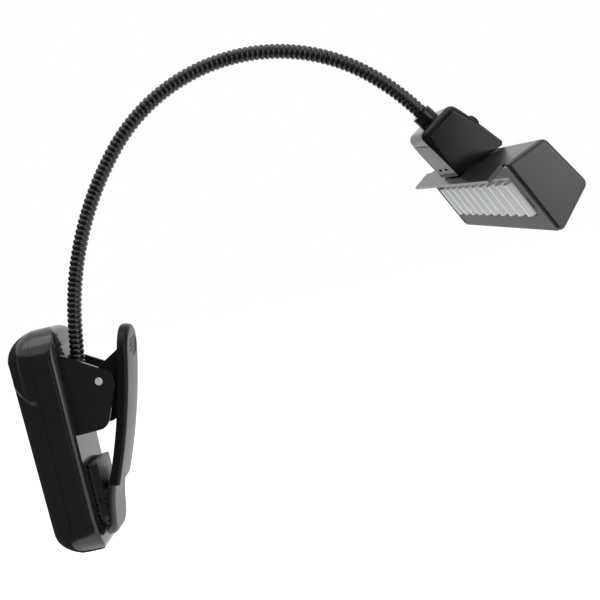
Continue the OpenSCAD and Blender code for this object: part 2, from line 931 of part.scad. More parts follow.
module neck_root() {
    color([0.06, 0.06, 0.065])
        difference() {
            union() {
                along_neck(0)
                    translate([0, 0, 1.1 - sleeve_l])
                    cylinder(r = neck_r, h = sleeve_l - 1.1 + neck_straight);
                along_neck(1) sphere(r = neck_r);
            }
            along_neck(0)
                translate([0, 0, -sleeve_l])
                cylinder(r = neck_bore_r, h = sleeve_l + neck_straight);
            along_neck(1) cylinder(r1 = neck_bore_r, r2 = neck_bore_r + 0.7, h = neck_r + 1);
        }
}

module neck_lower() { neck_piece(1, 1, true, true); }
module neck_middle() { neck_piece(2, 2, true, true); }
module neck_upper() { neck_piece(3, 3, true, true); }
module neck_crest() { neck_piece(4, 4, true, true); }
module neck_front() { neck_piece(5, 5, true, true); }
module neck_end() { neck_piece(6, 7, true, false); }

// The same stretch, cut short by a length at each end
function cut_short(s, a, b) =
    s[1] == 0 ? [s[0] - a - b, 0, 0] : [s[0], s[1] - (a + b) / s[0] * 180 / PI, s[2]];

// The pair of leads inside the gooseneck's stretches from first to last, clear of the joints
module lead_pair(first, last) {
    for (s = [-1, 1])
        color(s < 0 ? [0.7, 0.12, 0.1] : [0.08, 0.08, 0.09])
            for (i = [first:last]) {
                a = i == first ? neck_r : 0;
                b = i == last ? neck_r / 2 : 0;
                stretch = neck_stretches[i];
                skip = a == 0 || stretch[1] == 0 ? [a, 0, 0] : [stretch[0], a / stretch[0] * 180 / PI, stretch[2]];
                along_neck(i)
                    past(skip)
                    swept(cut_short(stretch, a, b))
                    translate([0, s * (lead_r + 0.15)])
                    circle(r = lead_r, $fn = 24);
            }
}

module root_leads() {
    color([0.7, 0.12, 0.1])
        along_neck(0)
        translate([0, 0, -sleeve_l - 0.2])
        for (s = [-1, 1])
            translate([0, s * (lead_r + 0.15), 0])
                cylinder(r = lead_r, h = sleeve_l + neck_straight - 1);
}

module lower_leads() { lead_pair(1, 1); }
module middle_leads() { lead_pair(2, 2); }
module upper_leads() { lead_pair(3, 3); }
module crest_leads() { lead_pair(4, 4); }
module front_leads() { lead_pair(5, 5); }
module end_leads() { lead_pair(6, 7); }

// ---- head ----
// In the head's own axes +Z runs on from the gooseneck, +X points the way the light shines,
// and Y runs along the lamp bar. Their origin is the middle of the collar's mouth.

module head_frame() {
    along_neck(7) children();
}

rear_z = 34;
rear_x = 7.9;
rear_slope = 14.5;
mouth_rise = 5.8;
mouth_run = shade_top_d + 9.8;
rear_top = [rear_x - shade_h, rear_z + shade_h * tan(rear_slope)];
shade_corners = [
    [rear_x, rear_z, 0],
    [rear_x + mouth_rise, rear_z + mouth_run, 2.5],
    [rear_top[0] + 1.3, rear_top[1] + shade_top_d, 3.2],
    [rear_top[0], rear_top[1], 3.2]
];
// Outlines in the head's X and Z run clockwise when X points down, so they are listed as X then Z
shade_points = rounded([for (i = [0:3]) shade_corners[i]]);
shade_half_l = head_l / 2;
lip_half_l = shade_half_l - 3;
mouth_slope = atan2(mouth_rise, mouth_run);

// Moves onto the shade's mouth: X out of the mouth, Z from the rear edge to the front edge
module mouth_frame() {
    translate([rear_x, 0, rear_z]) rotate([0, mouth_slope, 0]) children();
}

mouth_d = norm([mouth_rise, mouth_run]);

// Moves onto the shade's rear wall: Z into the shade
module rear_frame() {
    translate([rear_x - shade_h / 2, 0, rear_z + shade_h / 2 * tan(rear_slope)])
        rotate([0, rear_slope, 0])
        children();
}

// Collar and neck housing
collar_l = 13.5;
collar_z = 3.8;
collar_x = 0.4;
housing_corners = [
    [10.9, housing_z - 0.6, 3.4],
    [12.8, rear_z - 1.6, 0.4],
    [rear_x - 0.8, rear_z - 1 - fit_gap, 0],
    [rear_x - 0.8, rear_z + 0.8 * tan(rear_slope) - fit_gap, 0],
    [rear_top[0], rear_top[1] - fit_gap, 0],
    [-10.9, 37.4, 1],
    [-8.7, housing_z + 0.9, 3.8]
];
base_x = 10.6;

module collar() {
    color([0.04, 0.04, 0.045])
        head_frame()
        difference() {
            union() {
                translate([collar_x, 0, collar_z]) cylinder(r = collar_r, h = collar_l - collar_z);
                translate([collar_x, 0, housing_z + head_wall + 0.7]) cylinder(r = collar_r + 1.4, h = 1.6);
            }
            translate([0, 0, -1]) cylinder(r = neck_r + 0.03, h = neck_seat + 1.2);
            translate([0, 0, -1]) cylinder(r = neck_bore_r, h = collar_l + 2);
        }
}

module housing_form(w) {
    side_plate(rounded(inset(housing_corners, w)), -housing_w / 2 + w, housing_w / 2 - w);
}

housing_screw_y = 9;
button_z = 24.2;
top_run = housing_corners[6] - housing_corners[5];
housing_top_x = housing_corners[6][0] - top_run[0] * (button_z - housing_corners[6][1]) / -top_run[1];
top_slope = top_run[0] / -top_run[1];

module at_housing_screws() {
    rear_frame()
        for (s = [-1, 1])
            translate([1.5, s * housing_screw_y, 0])
                children();
}

module neck_housing() {
    color(black)
        head_frame()
        difference() {
            union() {
                difference() {
                    housing_form(0);
                    housing_form(head_wall);
                    box([base_x - 6, -housing_w / 2 + head_wall, housing_z + 4.4],
                        [20, housing_w / 2 - head_wall, rear_z - 3.2]);
                }
                intersection() {
                    housing_form(0.5);
                    at_housing_screws() translate([0, 0, -9]) cylinder(r = 2.5, h = 9.5);
                }
            }
            translate([collar_x, 0, 0]) cylinder(r = collar_r + 0.05, h = 20);
            at_housing_screws() translate([0, 0, -7.5]) cylinder(r = 0.95, h = 10);
            translate([-20, 0, button_z]) rotate([0, 90, 0]) cylinder(r = button_r + fit_gap, h = 15);
            translate([-3, -4, rear_z - 6]) cube([6, 8, 12]);
        }
}

// Closes the housing's underside, with two catch slots and a pedestal for the switch
module housing_base() {
    color([0.09, 0.09, 0.095])
        head_frame()
        difference() {
            union() {
                intersection() {
                    housing_form(0);
                    box([base_x, -housing_w / 2 + head_wall + fit_gap, housing_z + 4.4 + fit_gap],
                        [20, housing_w / 2 - head_wall - fit_gap, rear_z - 3.2 - fit_gap]);
                }
                box([module_x + module_d, -2.6, button_z - 2.6], [base_x + SMALL, 2.6, button_z + 2.6]);
            }
            for (y = [-4.4, 4.4])
                translate([base_x - 1, y - 2.2, rear_z - 6.4]) cube([5, 4.4, 0.9]);
        }
}

module_x = -3.6;
module_d = 5;
module_w = 8;
button_flange_r = button_r + 0.7;
flange_x = housing_top_x + head_wall + slide_gap + button_flange_r * top_slope;

module switch_button() {
    color([0.03, 0.03, 0.035])
        head_frame()
        translate([0, 0, button_z])
        rotate([0, 90, 0])
        union() {
            translate([0, 0, housing_top_x - button_proud])
                cylinder(r = button_r - 0.5, h = 1);
            translate([0, 0, housing_top_x - button_proud + 0.5])
                cylinder(r = button_r, h = flange_x - housing_top_x + button_proud - 0.5);
            translate([0, 0, flange_x - SMALL]) cylinder(r = button_flange_r, h = 0.7);
            translate([0, 0, flange_x]) cylinder(r = 1.5, h = module_x - flange_x + 0.4);
        }
}

module switch_module() {
    color([0.12, 0.12, 0.13])
        head_frame()
        difference() {
            box([module_x, -module_w / 2, button_z - module_w / 2],
                [module_x + module_d, module_w / 2, button_z + module_w / 2]);
            translate([module_x - 1, 0, button_z])
                rotate([0, 90, 0])
                cylinder(r = 1.5 + fit_gap, h = button_travel + 2.2);
        }
}

// Board and LEDs behind the lens
board_x = -1.4;
board_t = 1.6;
board_z = 41.5;
board_d = 19;
board_l = head_l - 14;
board_posts = [for (y = [-board_l / 2 + 4, board_l / 2 - 4]) for (z = [board_z + 3, board_z + board_d - 3]) [y, z]];

module shade_shell() {
    color(black)
        head_frame()
        difference() {
            union() {
                difference() {
                    union() {
                        side_plate(shade_points, -shade_half_l, shade_half_l);
                        mouth_frame()
                            rotate([0, -mouth_slope, 0])
                            box([-0.6, -lip_half_l, -1], [lip_l, lip_half_l, head_wall - 1]);
                    }
                    difference() {
                        union() {
                            side_plate(rounded(inset(shade_corners, head_wall)), -shade_half_l + head_wall,
                                shade_half_l - head_wall);
                            mouth_frame()
                                box([-4, -shade_half_l + head_wall, head_wall],
                                    [9, shade_half_l - head_wall, mouth_d - head_wall]);
                        }
                    }
                }
                for (p = board_posts)
                    translate([rear_top[0] + head_wall, p[0], p[1]])
                        rotate([0, 90, 0])
                        cylinder(r = 2.2, h = board_x - rear_top[0] - head_wall);
            }
            for (p = board_posts)
                translate([board_x - 4.5, p[0], p[1]])
                    rotate([0, 90, 0])
                    cylinder(r = 0.85, h = 6);
            at_housing_screws() translate([0, 0, -2]) cylinder(r = 1.35, h = 8);
            translate([-3, -4, rear_z - 2]) cube([6, 8, 8]);
        }
}

frame_t = 1.5;
frame_sink = 0.3;
window_z0 = 6.5;
window_z1 = 25.4;
window_half_l = shade_half_l - rib_row_end;
window_y = 1.6;
rib_start = 2.2;

slot_y = window_y - window_half_l - 2.6;

// The lens's frame closes the shade's mouth round the window
module lens_frame() {
    color([0.1, 0.1, 0.105])
        head_frame()
        mouth_frame()
        difference() {
            box([-frame_t - frame_sink, -shade_half_l + head_wall + fit_gap, head_wall + fit_gap],
                [-frame_sink, shade_half_l - head_wall - fit_gap, mouth_d - head_wall - fit_gap]);
            box([-5, window_y - window_half_l, window_z0], [5, window_y + window_half_l, window_z1]);
            translate([-5, slot_y - 0.6, mouth_d / 2 - 1]) cube([10, 1.2, 4.8]);
        }
}

lens_t = 1.2;

function led_y(i) = window_y + (i - (led_count - 1) / 2) * led_pitch;

// A plate behind the frame, with one rounded rib in front of each LED
module ribbed_lens() {
    rib_r = led_pitch * 0.46;
    rib_sink = frame_t + frame_sink;
    color([0.93, 0.95, 0.97, 0.6])
        head_frame()
        mouth_frame()
        union() {
            box([-rib_sink - fit_gap - lens_t, window_y - window_half_l - 2, window_z0 - 2],
                [-rib_sink - fit_gap, window_y + window_half_l + 2, window_z1 + 2]);
            intersection() {
                for (i = [0:led_count - 1])
                    translate([rib_proud - rib_r - frame_sink, led_y(i), window_z0 + rib_start])
                        cylinder(r = rib_r, h = window_z1 - window_z0 - rib_start - 0.4);
                box([-rib_sink - fit_gap - SMALL, -shade_half_l, window_z0], [rib_proud + 1, shade_half_l, window_z1]);
            }
        }
}

module led_board() {
    color([0.9, 0.9, 0.88])
        head_frame()
        difference() {
            box([board_x, -board_l / 2, board_z], [board_x + board_t, board_l / 2, board_z + board_d]);
            for (p = board_posts)
                translate([board_x - 1, p[0], p[1]])
                    rotate([0, 90, 0])
                    cylinder(r = 1.05, h = 4);
        }
}

module leds() {
    color([0.95, 0.93, 0.7])
        head_frame()
        for (i = [0:led_count - 1])
            translate([board_x + board_t, led_y(i), board_z + board_d / 2])
                union() {
                    box([0, -1.4, -1.75], [0.9, 1.4, 1.75]);
                    translate([0.9, 0, 0])
                        rotate([0, 90, 0])
                        cylinder(r1 = 1.15, r2 = 0.7, h = 0.7);
                }
}

module resistors() {
    color([0.13, 0.13, 0.14])
        head_frame()
        for (i = [0:led_count / 2 - 1])
            translate([board_x - 0.6, (2 * i - led_count / 2 + 1) * led_pitch, board_z + board_d / 2])
                box([0, -1.6, -0.8], [0.6, 1.6, 0.8]);
}

module board_screws() {
    color(steel)
        head_frame()
        for (p = board_posts)
            translate([board_x - 4, p[0], p[1]])
                rotate([0, 90, 0])
                difference() {
                    screw(4 + board_t, 0.8, 1.7, 1);
                    translate([0, 0, 5 + board_t]) cross_slot(2, 0.6);
                }
}

module housing_screws() {
    color(steel)
        head_frame()
        at_housing_screws()
        translate([0, 0, -6.5])
        difference() {
            screw(6.5 + head_wall + 0.02, 0.9, 2, 1.3);
            translate([0, 0, 6.5 + head_wall + 1.3]) cross_slot(2.4, 0.7);
        }
}

inner_shell();
outer_cover();
battery_door();
battery_cells();
contact_springs();
contact_plates();
cover_screws();
body_leads();
neck_sleeve();
pivot_pin();
torsion_spring();
spring_lever_leg();
lever();
lever_toe();
jaw_foot();
jaw_foot_pin();
jaw_foot_pad();
neck_root();
neck_lower();
neck_middle();
neck_upper();
neck_crest();
neck_front();
neck_end();
root_leads();
lower_leads();
middle_leads();
upper_leads();
crest_leads();
front_leads();
end_leads();
collar();
neck_housing();
housing_base();
switch_button();
switch_module();
shade_shell();
lens_frame();
ribbed_lens();
led_board();
leds();
resistors();
board_screws();
housing_screws();
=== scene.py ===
"""Clip on reading lamp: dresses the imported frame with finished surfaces, a gooseneck and a small studio."""

import math

import bmesh
import bpy
from mathutils import Matrix, Vector
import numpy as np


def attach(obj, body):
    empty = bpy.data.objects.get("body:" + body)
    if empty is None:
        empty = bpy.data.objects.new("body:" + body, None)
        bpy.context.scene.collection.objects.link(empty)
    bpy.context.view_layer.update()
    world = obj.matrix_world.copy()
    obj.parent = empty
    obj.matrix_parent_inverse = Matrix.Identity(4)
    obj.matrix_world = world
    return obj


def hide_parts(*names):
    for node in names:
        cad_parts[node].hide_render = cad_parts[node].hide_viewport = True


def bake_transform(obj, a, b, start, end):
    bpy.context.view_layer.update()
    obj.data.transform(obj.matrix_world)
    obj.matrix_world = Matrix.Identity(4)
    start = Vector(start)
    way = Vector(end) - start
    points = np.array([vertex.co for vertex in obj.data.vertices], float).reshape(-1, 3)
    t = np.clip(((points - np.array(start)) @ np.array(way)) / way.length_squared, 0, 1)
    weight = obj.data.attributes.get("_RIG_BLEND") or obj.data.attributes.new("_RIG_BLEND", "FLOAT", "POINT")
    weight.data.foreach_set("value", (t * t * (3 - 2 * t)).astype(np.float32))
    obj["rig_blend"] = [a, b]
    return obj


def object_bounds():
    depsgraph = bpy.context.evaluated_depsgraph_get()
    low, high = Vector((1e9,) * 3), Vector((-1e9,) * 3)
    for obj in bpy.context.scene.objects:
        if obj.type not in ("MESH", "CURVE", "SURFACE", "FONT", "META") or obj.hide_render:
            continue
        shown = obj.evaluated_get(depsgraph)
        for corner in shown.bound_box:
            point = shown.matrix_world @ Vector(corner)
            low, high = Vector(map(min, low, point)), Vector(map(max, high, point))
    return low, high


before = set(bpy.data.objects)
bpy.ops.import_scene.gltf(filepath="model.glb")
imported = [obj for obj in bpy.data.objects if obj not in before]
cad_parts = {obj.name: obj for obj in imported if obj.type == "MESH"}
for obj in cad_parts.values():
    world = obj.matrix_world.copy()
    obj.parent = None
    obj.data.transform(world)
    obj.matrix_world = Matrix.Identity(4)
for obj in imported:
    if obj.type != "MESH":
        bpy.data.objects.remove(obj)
CAD_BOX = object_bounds()

bl_info = {
    "name": "Clip On Reading Lamp",
    "version": (1, 0, 0),
    "blender": (4, 5, 0),
    "location": "View3D > Sidebar > Reading Lamp",
    "description": "Builds the finished surfaces of a clip on reading lamp around its frame",
    "category": "Add Mesh",
}

MM = 0.001
FULL_TURN = 2 * math.pi

# Where the gooseneck leaves the clip, and how it leans there
NECK_FOOT = Vector((3.5, 0, 66)) * MM
NECK_LEAN = math.radians(9.3)
# Each stretch of the gooseneck: radius of its bend in mm, angle and turn in degrees; no radius is a straight length
NECK_STRETCHES = [
    (15.5, 0, 0),
    (143.3, 16.5, 0),
    (143.3, 16.5, 0),
    (83.1, 29.55, 0),
    (83.1, 29.55, 0),
    (82.5, 32.2, 0),
    (104.7, 11.7, 38.5),
    (9, 0, 0),
]
NECK_BODIES = ["clip", "lower_neck", "middle_neck", "upper_neck", "crest_neck", "front_neck", "head"]
NECK_NODES = ["neck_root", "neck_lower", "neck_middle", "neck_upper", "neck_crest", "neck_front", "neck_end"]
NECK_PIECES = ["gooseneck_foot", "gooseneck_rise", "gooseneck_shoulder", "gooseneck_crest", "gooseneck_fall",
               "gooseneck_tip"]

# How far the tube bends on each side of a joint
NECK_BLEND = 14 * MM

# The lever's hinge pin and lean, its outer face, its round top, and its finger mark with the grip ridges
LEVER_PIN = Vector((13.7, 0, 57.4)) * MM
LEVER_LEAN = math.radians(13.5)
LEVER_SHIFT = 10.3
LEVER_R = 275
LEVER_TOP = 24.4
DOME_R, DOME_FLAT = 12, 0.4
MARK_Y, MARK_Z = 0.5, 15
RIDGE_ROWS, RIDGE_REACH = (-2.1, 0, 2.1), 3.6
TOE_START = 44
# The lugs that join the lever to its pin, in the lever's frame
FLANGE_CORNERS = [(9, -15.4, 0), (9, 15.4, 0), (-0.6, 6.4, 3), (-5.4, 4, 3.5), (-5.4, -4, 3.5), (2.4, -8, 3)]
FLANGE_THICKNESS = 1.9
FLANGE_OUT = 9.1
# The toe's outer and inner profile from top to bottom, and the lugs on the foot's pin
FOOT_PIN = Vector((4.6, 0, 7.3)) * MM
TOE_OUTER = [(11.4, 15.8), (9.9, 11), (8.6, 6.5), (7.7, 2), (7.0, -2.5), (6.3, -6.5), (5.6, -9.9)]
TOE_INNER = [(7.4, 15.8), (5.6, 7), (4.8, 2), (4.2, -3), (2.4, -5.6), (1.3, -7.5), (1.2, -9.9)]
TOE_LUG_CORNERS = [(-2.3, -2.3, 2.2), (3, -2.3, 1), (3.9, 4.2, 0.6), (2.6, 4.6, 0.6), (-2.3, 2.3, 2.2)]

# Half the width of the housing and half the length of the shade, in the head's own frame
HOUSING_HALF_W = 13 * MM
SHADE_HALF_L = 59 * MM
# The radius of the housing's side edges, and where they end towards the shade
HOUSING_RIM = 3 * MM
HOUSING_TOP = 31.8 * MM

# The camera: lens, sensor width and near limit, where it stands and the way it points, rolled to one side
CAMERA_LENS, CAMERA_SENSOR, CAMERA_CLIP = 49.44, 36, 0.01
CAMERA_PLACE = Vector((0.10903, -0.36408, 0.08542))
CAMERA_RIGHT = Vector((0.97433, 0, -0.22511))
CAMERA_FORWARD = Vector((-0.00874, 0.99925, -0.03781))


def length_property(name, description, default):
    """A length in mm that a user may change."""
    return bpy.props.FloatProperty(
        name=name, description=description, default=default * MM, unit="LENGTH", precision=5)


class LampSizes(bpy.types.PropertyGroup):
    """Sizes of the finished details"""

    rib_pitch: length_property("Rib Pitch", "Distance between the gooseneck's ribs", 2.3)
    rib_radius: length_property("Rib Radius", "Radius over the gooseneck's ribs", 3.2)
    rib_depth: length_property("Rib Depth", "Depth of the groove between two ribs", 0.62)
    lever_edge: length_property("Lever Edge", "Radius along the edges of the lever", 2.0)
    shade_edge: length_property("Shade Edge", "Radius along the edges of the shade", 1.6)
    small_edge: length_property("Small Edge", "Radius along the edges of the small mouldings", 0.3)
    mark_width: length_property("Finger Mark Width", "Width of the oval finger rest on the lever", 15.6)
    mark_height: length_property("Finger Mark Height", "Height of the oval finger rest on the lever", 9.4)
    mark_depth: length_property("Finger Mark Depth", "Depth of the oval finger rest on the lever", 0.8)


def colour_property(name, description, default):
    """A colour that a user may change."""
    return bpy.props.FloatVectorProperty(
        name=name, description=description, default=default, size=4, subtype="COLOR", min=0, max=1)


class LampColours(bpy.types.PropertyGroup):
    """Colours of the finishes"""

    casing: colour_property("Casing", "Polished black moulding", (0.0050, 0.0050, 0.0054, 1))
    satin: colour_property("Satin Moulding", "Fine grained dark moulding", (0.012, 0.012, 0.0125, 1))
    neck: colour_property("Gooseneck", "Black coat of the gooseneck", (0.004, 0.004, 0.004, 1))
    # Under the partly diffuse steel finish this colour also shows as a painted sheen.
    steel: colour_property("Steel", "Bright drawn steel", (0.80, 0.80, 0.82, 1))
    plated: colour_property("Plated Steel", "Zinc plated steel", (0.62, 0.63, 0.66, 1))
    rubber: colour_property("Rubber", "Soft pad and button", (0.02, 0.02, 0.02, 1))
    lens: colour_property("Lens", "Clear ribbed lens", (0.93, 0.95, 0.97, 1))
    reflector: colour_property("Window Plate", "Plate round the lens", (0.05, 0.05, 0.05, 1))
    board: colour_property("Board", "White solder mask", (0.72, 0.72, 0.70, 1))
    cell: colour_property("Cell Sleeve", "Printed sleeve of the dry cells", (0.2, 0.36, 0.28, 1))
    lead: colour_property("Lead Jacket", "Jacket of the inner leads", (0.45, 0.03, 0.03, 1))


def sizes():
    """The sizes that the panel shows."""
    return bpy.context.scene.lamp_sizes


def colours():
    """The colours that the panel shows."""
    return bpy.context.scene.lamp_colours


# ---------------------------------------------------------------- shader groups


def new_group(name, inputs, outputs):
    """An empty shader node group with named sockets, with its input and output nodes."""
    group = bpy.data.node_groups.new(name, "ShaderNodeTree")
    for label, kind, value in inputs:
        socket = group.interface.new_socket(name=label, in_out="INPUT", socket_type=kind)
        socket.default_value = value
    for label, kind in outputs:
        group.interface.new_socket(name=label, in_out="OUTPUT", socket_type=kind)
    return group, group.nodes.new("NodeGroupInput"), group.nodes.new("NodeGroupOutput")


def noise_node(tree, detail, roughness=0.5):
    """A noise node laid out in the piece's own coordinates."""
    place = tree.nodes.new("ShaderNodeTexCoord")
    noise = tree.nodes.new("ShaderNodeTexNoise")
    noise.inputs["Detail"].default_value = detail
    noise.inputs["Roughness"].default_value = roughness
    tree.links.new(place.outputs["Object"], noise.inputs["Vector"])
    return noise


def math_node(tree, operation, *values):
    """A math node whose inputs are numbers or sockets."""
    node = tree.nodes.new("ShaderNodeMath")
    node.operation = operation
    for slot, value in zip(node.inputs, values):
        if isinstance(value, (int, float)):
            slot.default_value = value
        else:
            tree.links.new(value, slot)
    return node.outputs["Value"]


def mix_colour(tree, factor, first, second):
    """A colour mix whose inputs are sockets or colours."""
    node = tree.nodes.new("ShaderNodeMix")
    node.data_type = "RGBA"
    tree.links.new(factor, node.inputs["Factor"])
    for slot, value in ((node.inputs["A"], first), (node.inputs["B"], second)):
        if isinstance(value, tuple):
            slot.default_value = value
        else:
            tree.links.new(value, slot)
    return node.outputs["Result"]


def moulding_skin_group():
    """Colour drift, handling smudges and fine grain of a moulded surface."""
    group = bpy.data.node_groups.get("Moulding Skin")
    if group:
        return group
    group, start, end = new_group(
        "Moulding Skin",
        [("Colour", "NodeSocketColor", (0.5, 0.5, 0.5, 1)), ("Lighter Colour", "NodeSocketColor", (0.6, 0.6, 0.6, 1)),
         ("Drift", "NodeSocketFloat", 0.3), ("Smudge Size", "NodeSocketFloat", 60.0),
         ("Roughness", "NodeSocketFloat", 0.3), ("Roughness Spread", "NodeSocketFloat", 0.1),
         ("Grain Size", "NodeSocketFloat", 3000.0)],
        [("Colour", "NodeSocketColor"), ("Roughness", "NodeSocketFloat"), ("Height", "NodeSocketFloat")])
    smudge = noise_node(group, 5, 0.6)
    grain = noise_node(group, 2)
    link = group.links.new
    link(start.outputs["Smudge Size"], smudge.inputs["Scale"])
    link(start.outputs["Grain Size"], grain.inputs["Scale"])
    share = math_node(group, "MULTIPLY", smudge.outputs["Fac"], start.outputs["Drift"])
    link(mix_colour(group, share, start.outputs["Colour"], start.outputs["Lighter Colour"]), end.inputs["Colour"])
    offset = math_node(group, "SUBTRACT", smudge.outputs["Fac"], 0.5)
    link(math_node(group, "MULTIPLY_ADD", offset, start.outputs["Roughness Spread"], start.outputs["Roughness"]),
         end.inputs["Roughness"])
    link(grain.outputs["Fac"], end.inputs["Height"])
    return group


def edge_wear_group():
    """Paler rubbed edges, broken up by noise."""
    group = bpy.data.node_groups.get("Edge Wear")
    if group:
        return group
    group, start, end = new_group(
        "Edge Wear",
        [("Colour", "NodeSocketColor", (0.5, 0.5, 0.5, 1)), ("Worn Colour", "NodeSocketColor", (0.6, 0.6, 0.6, 1)),
         ("Amount", "NodeSocketFloat", 0.5)],
        [("Colour", "NodeSocketColor"), ("Mask", "NodeSocketFloat")])
    shape = group.nodes.new("ShaderNodeNewGeometry")
    edge = group.nodes.new("ShaderNodeMapRange")
    edge.inputs["From Min"].default_value = 0.52
    edge.inputs["From Max"].default_value = 0.62
    speckle = noise_node(group, 4, 0.7)
    speckle.inputs["Scale"].default_value = 400
    link = group.links.new
    link(shape.outputs["Pointiness"], edge.inputs["Value"])
    broken = math_node(group, "MULTIPLY", edge.outputs["Result"], speckle.outputs["Fac"])
    mask = math_node(group, "MULTIPLY", broken, start.outputs["Amount"])
    link(mix_colour(group, mask, start.outputs["Colour"], start.outputs["Worn Colour"]), end.inputs["Colour"])
    link(mask, end.inputs["Mask"])
    return group


def settled_dust_group():
    """A light film of dust on what faces up."""
    group = bpy.data.node_groups.get("Settled Dust")
    if group:
        return group
    group, start, end = new_group(
        "Settled Dust",
        [("Colour", "NodeSocketColor", (0.5, 0.5, 0.5, 1)), ("Roughness", "NodeSocketFloat", 0.3),
         ("Amount", "NodeSocketFloat", 0.1)],
        [("Colour", "NodeSocketColor"), ("Roughness", "NodeSocketFloat")])
    shape = group.nodes.new("ShaderNodeNewGeometry")
    split = group.nodes.new("ShaderNodeSeparateXYZ")
    facing = group.nodes.new("ShaderNodeMapRange")
    facing.inputs["From Min"].default_value = 0.2
    patches = noise_node(group, 6, 0.7)
    patches.inputs["Scale"].default_value = 150
    link = group.links.new
    link(shape.outputs["Normal"], split.inputs["Vector"])
    link(split.outputs["Z"], facing.inputs["Value"])
    cover = math_node(group, "MULTIPLY", facing.outputs["Result"], patches.outputs["Fac"])
    share = math_node(group, "MULTIPLY", cover, start.outputs["Amount"])
    link(mix_colour(group, share, start.outputs["Colour"], (0.32, 0.31, 0.29, 1)), end.inputs["Colour"])
    link(math_node(group, "MULTIPLY_ADD", share, 0.5, start.outputs["Roughness"]), end.inputs["Roughness"])
    return group


def brushed_metal_group():
    """Drawn lines along a metal piece."""
    group = bpy.data.node_groups.get("Brushed Metal")
    if group:
        return group
    group, start, end = new_group(
        "Brushed Metal",
        [("Colour", "NodeSocketColor", (0.7, 0.7, 0.7, 1)), ("Roughness", "NodeSocketFloat", 0.25),
         ("Line Size", "NodeSocketFloat", 900.0), ("Spread", "NodeSocketFloat", 0.2)],
        [("Colour", "NodeSocketColor"), ("Roughness", "NodeSocketFloat"), ("Height", "NodeSocketFloat")])
    place = group.nodes.new("ShaderNodeTexCoord")
    stretch = group.nodes.new("ShaderNodeMapping")
    stretch.inputs["Scale"].default_value = (1, 0.06, 1)
    lines = group.nodes.new("ShaderNodeTexNoise")
    lines.inputs["Detail"].default_value = 4
    link = group.links.new
    link(place.outputs["Object"], stretch.inputs["Vector"])
    link(stretch.outputs["Vector"], lines.inputs["Vector"])
    link(start.outputs["Line Size"], lines.inputs["Scale"])
    offset = math_node(group, "SUBTRACT", lines.outputs["Fac"], 0.5)
    link(math_node(group, "MULTIPLY_ADD", offset, start.outputs["Spread"], start.outputs["Roughness"]),
         end.inputs["Roughness"])
    link(lines.outputs["Fac"], end.inputs["Height"])
    dark = math_node(group, "MULTIPLY", lines.outputs["Fac"], 0.18)
    link(mix_colour(group, dark, start.outputs["Colour"], (0.2, 0.2, 0.2, 1)), end.inputs["Colour"])
    return group


# ---------------------------------------------------------------- materials


def new_material(name):
    """A material with its Principled shader."""
    material = bpy.data.materials.new(name)
    material.use_nodes = True
    return material, material.node_tree, material.node_tree.nodes["Principled BSDF"]


def place_group(tree, group, **values):
    """A group node with its own values; a value may be a socket."""
    node = tree.nodes.new("ShaderNodeGroup")
    node.node_tree = group
    for label, value in values.items():
        slot = node.inputs[label.replace("_", " ")]
        if isinstance(value, bpy.types.NodeSocket):
            tree.links.new(value, slot)
        else:
            slot.default_value = value
    return node


def add_bump(tree, shader, height, distance, strength=1.0):
    """Raises the surface by a height socket."""
    bump = tree.nodes.new("ShaderNodeBump")
    bump.inputs["Distance"].default_value = distance
    bump.inputs["Strength"].default_value = strength
    tree.links.new(height, bump.inputs["Height"])
    tree.links.new(bump.outputs["Normal"], shader.inputs["Normal"])


def lighter(colour, by):
    """The same colour, lighter by a plain amount."""
    return (colour[0] + by, colour[1] + by, colour[2] + by, 1)


def moulding(name, colour, roughness, spread=0.08, drift=0.004, grain=3000, grain_height=0.000004, dust=0.03,
             wear=0.25, specular=0.5, smudge=60):
    """A moulded plastic: grain, smudges, rubbed edges and a little dust."""
    material, tree, shader = new_material(name)
    colour = tuple(colour)
    skin = place_group(
        tree, moulding_skin_group(), Colour=colour, Lighter_Colour=lighter(colour, drift), Drift=1.0,
        Smudge_Size=smudge, Roughness=roughness, Roughness_Spread=spread, Grain_Size=grain)
    worn = place_group(tree, edge_wear_group(), Colour=skin.outputs["Colour"], Worn_Colour=lighter(colour, 0.07),
                       Amount=wear)
    dusty = place_group(tree, settled_dust_group(), Colour=worn.outputs["Colour"],
                        Roughness=skin.outputs["Roughness"], Amount=dust)
    tree.links.new(dusty.outputs["Colour"], shader.inputs["Base Color"])
    tree.links.new(dusty.outputs["Roughness"], shader.inputs["Roughness"])
    shader.inputs["Specular IOR Level"].default_value = specular
    add_bump(tree, shader, skin.outputs["Height"], grain_height)
    return material


def metal(name, colour, roughness, line_size=900, spread=0.2, line_height=0.000003, metallic=1):
    """A bare or plated metal with drawn lines."""
    material, tree, shader = new_material(name)
    brushed = place_group(tree, brushed_metal_group(), Colour=tuple(colour), Roughness=roughness,
                          Line_Size=line_size, Spread=spread)
    tree.links.new(brushed.outputs["Colour"], shader.inputs["Base Color"])
    tree.links.new(brushed.outputs["Roughness"], shader.inputs["Roughness"])
    shader.inputs["Metallic"].default_value = metallic
    add_bump(tree, shader, brushed.outputs["Height"], line_height)
    return material


def clear_lens(name, colour):
    """Moulded clear plastic, a little milky."""
    material, tree, shader = new_material(name)
    colour = tuple(colour)
    skin = place_group(
        tree, moulding_skin_group(), Colour=colour, Lighter_Colour=lighter(colour, 0.04), Drift=0.6,
        Smudge_Size=90, Roughness=0.12, Roughness_Spread=0.06, Grain_Size=1500)
    tree.links.new(skin.outputs["Colour"], shader.inputs["Base Color"])
    tree.links.new(skin.outputs["Roughness"], shader.inputs["Roughness"])
    shader.inputs["Transmission Weight"].default_value = 0.25
    shader.inputs["IOR"].default_value = 1.49
    add_bump(tree, shader, skin.outputs["Height"], 0.000004)
    return material


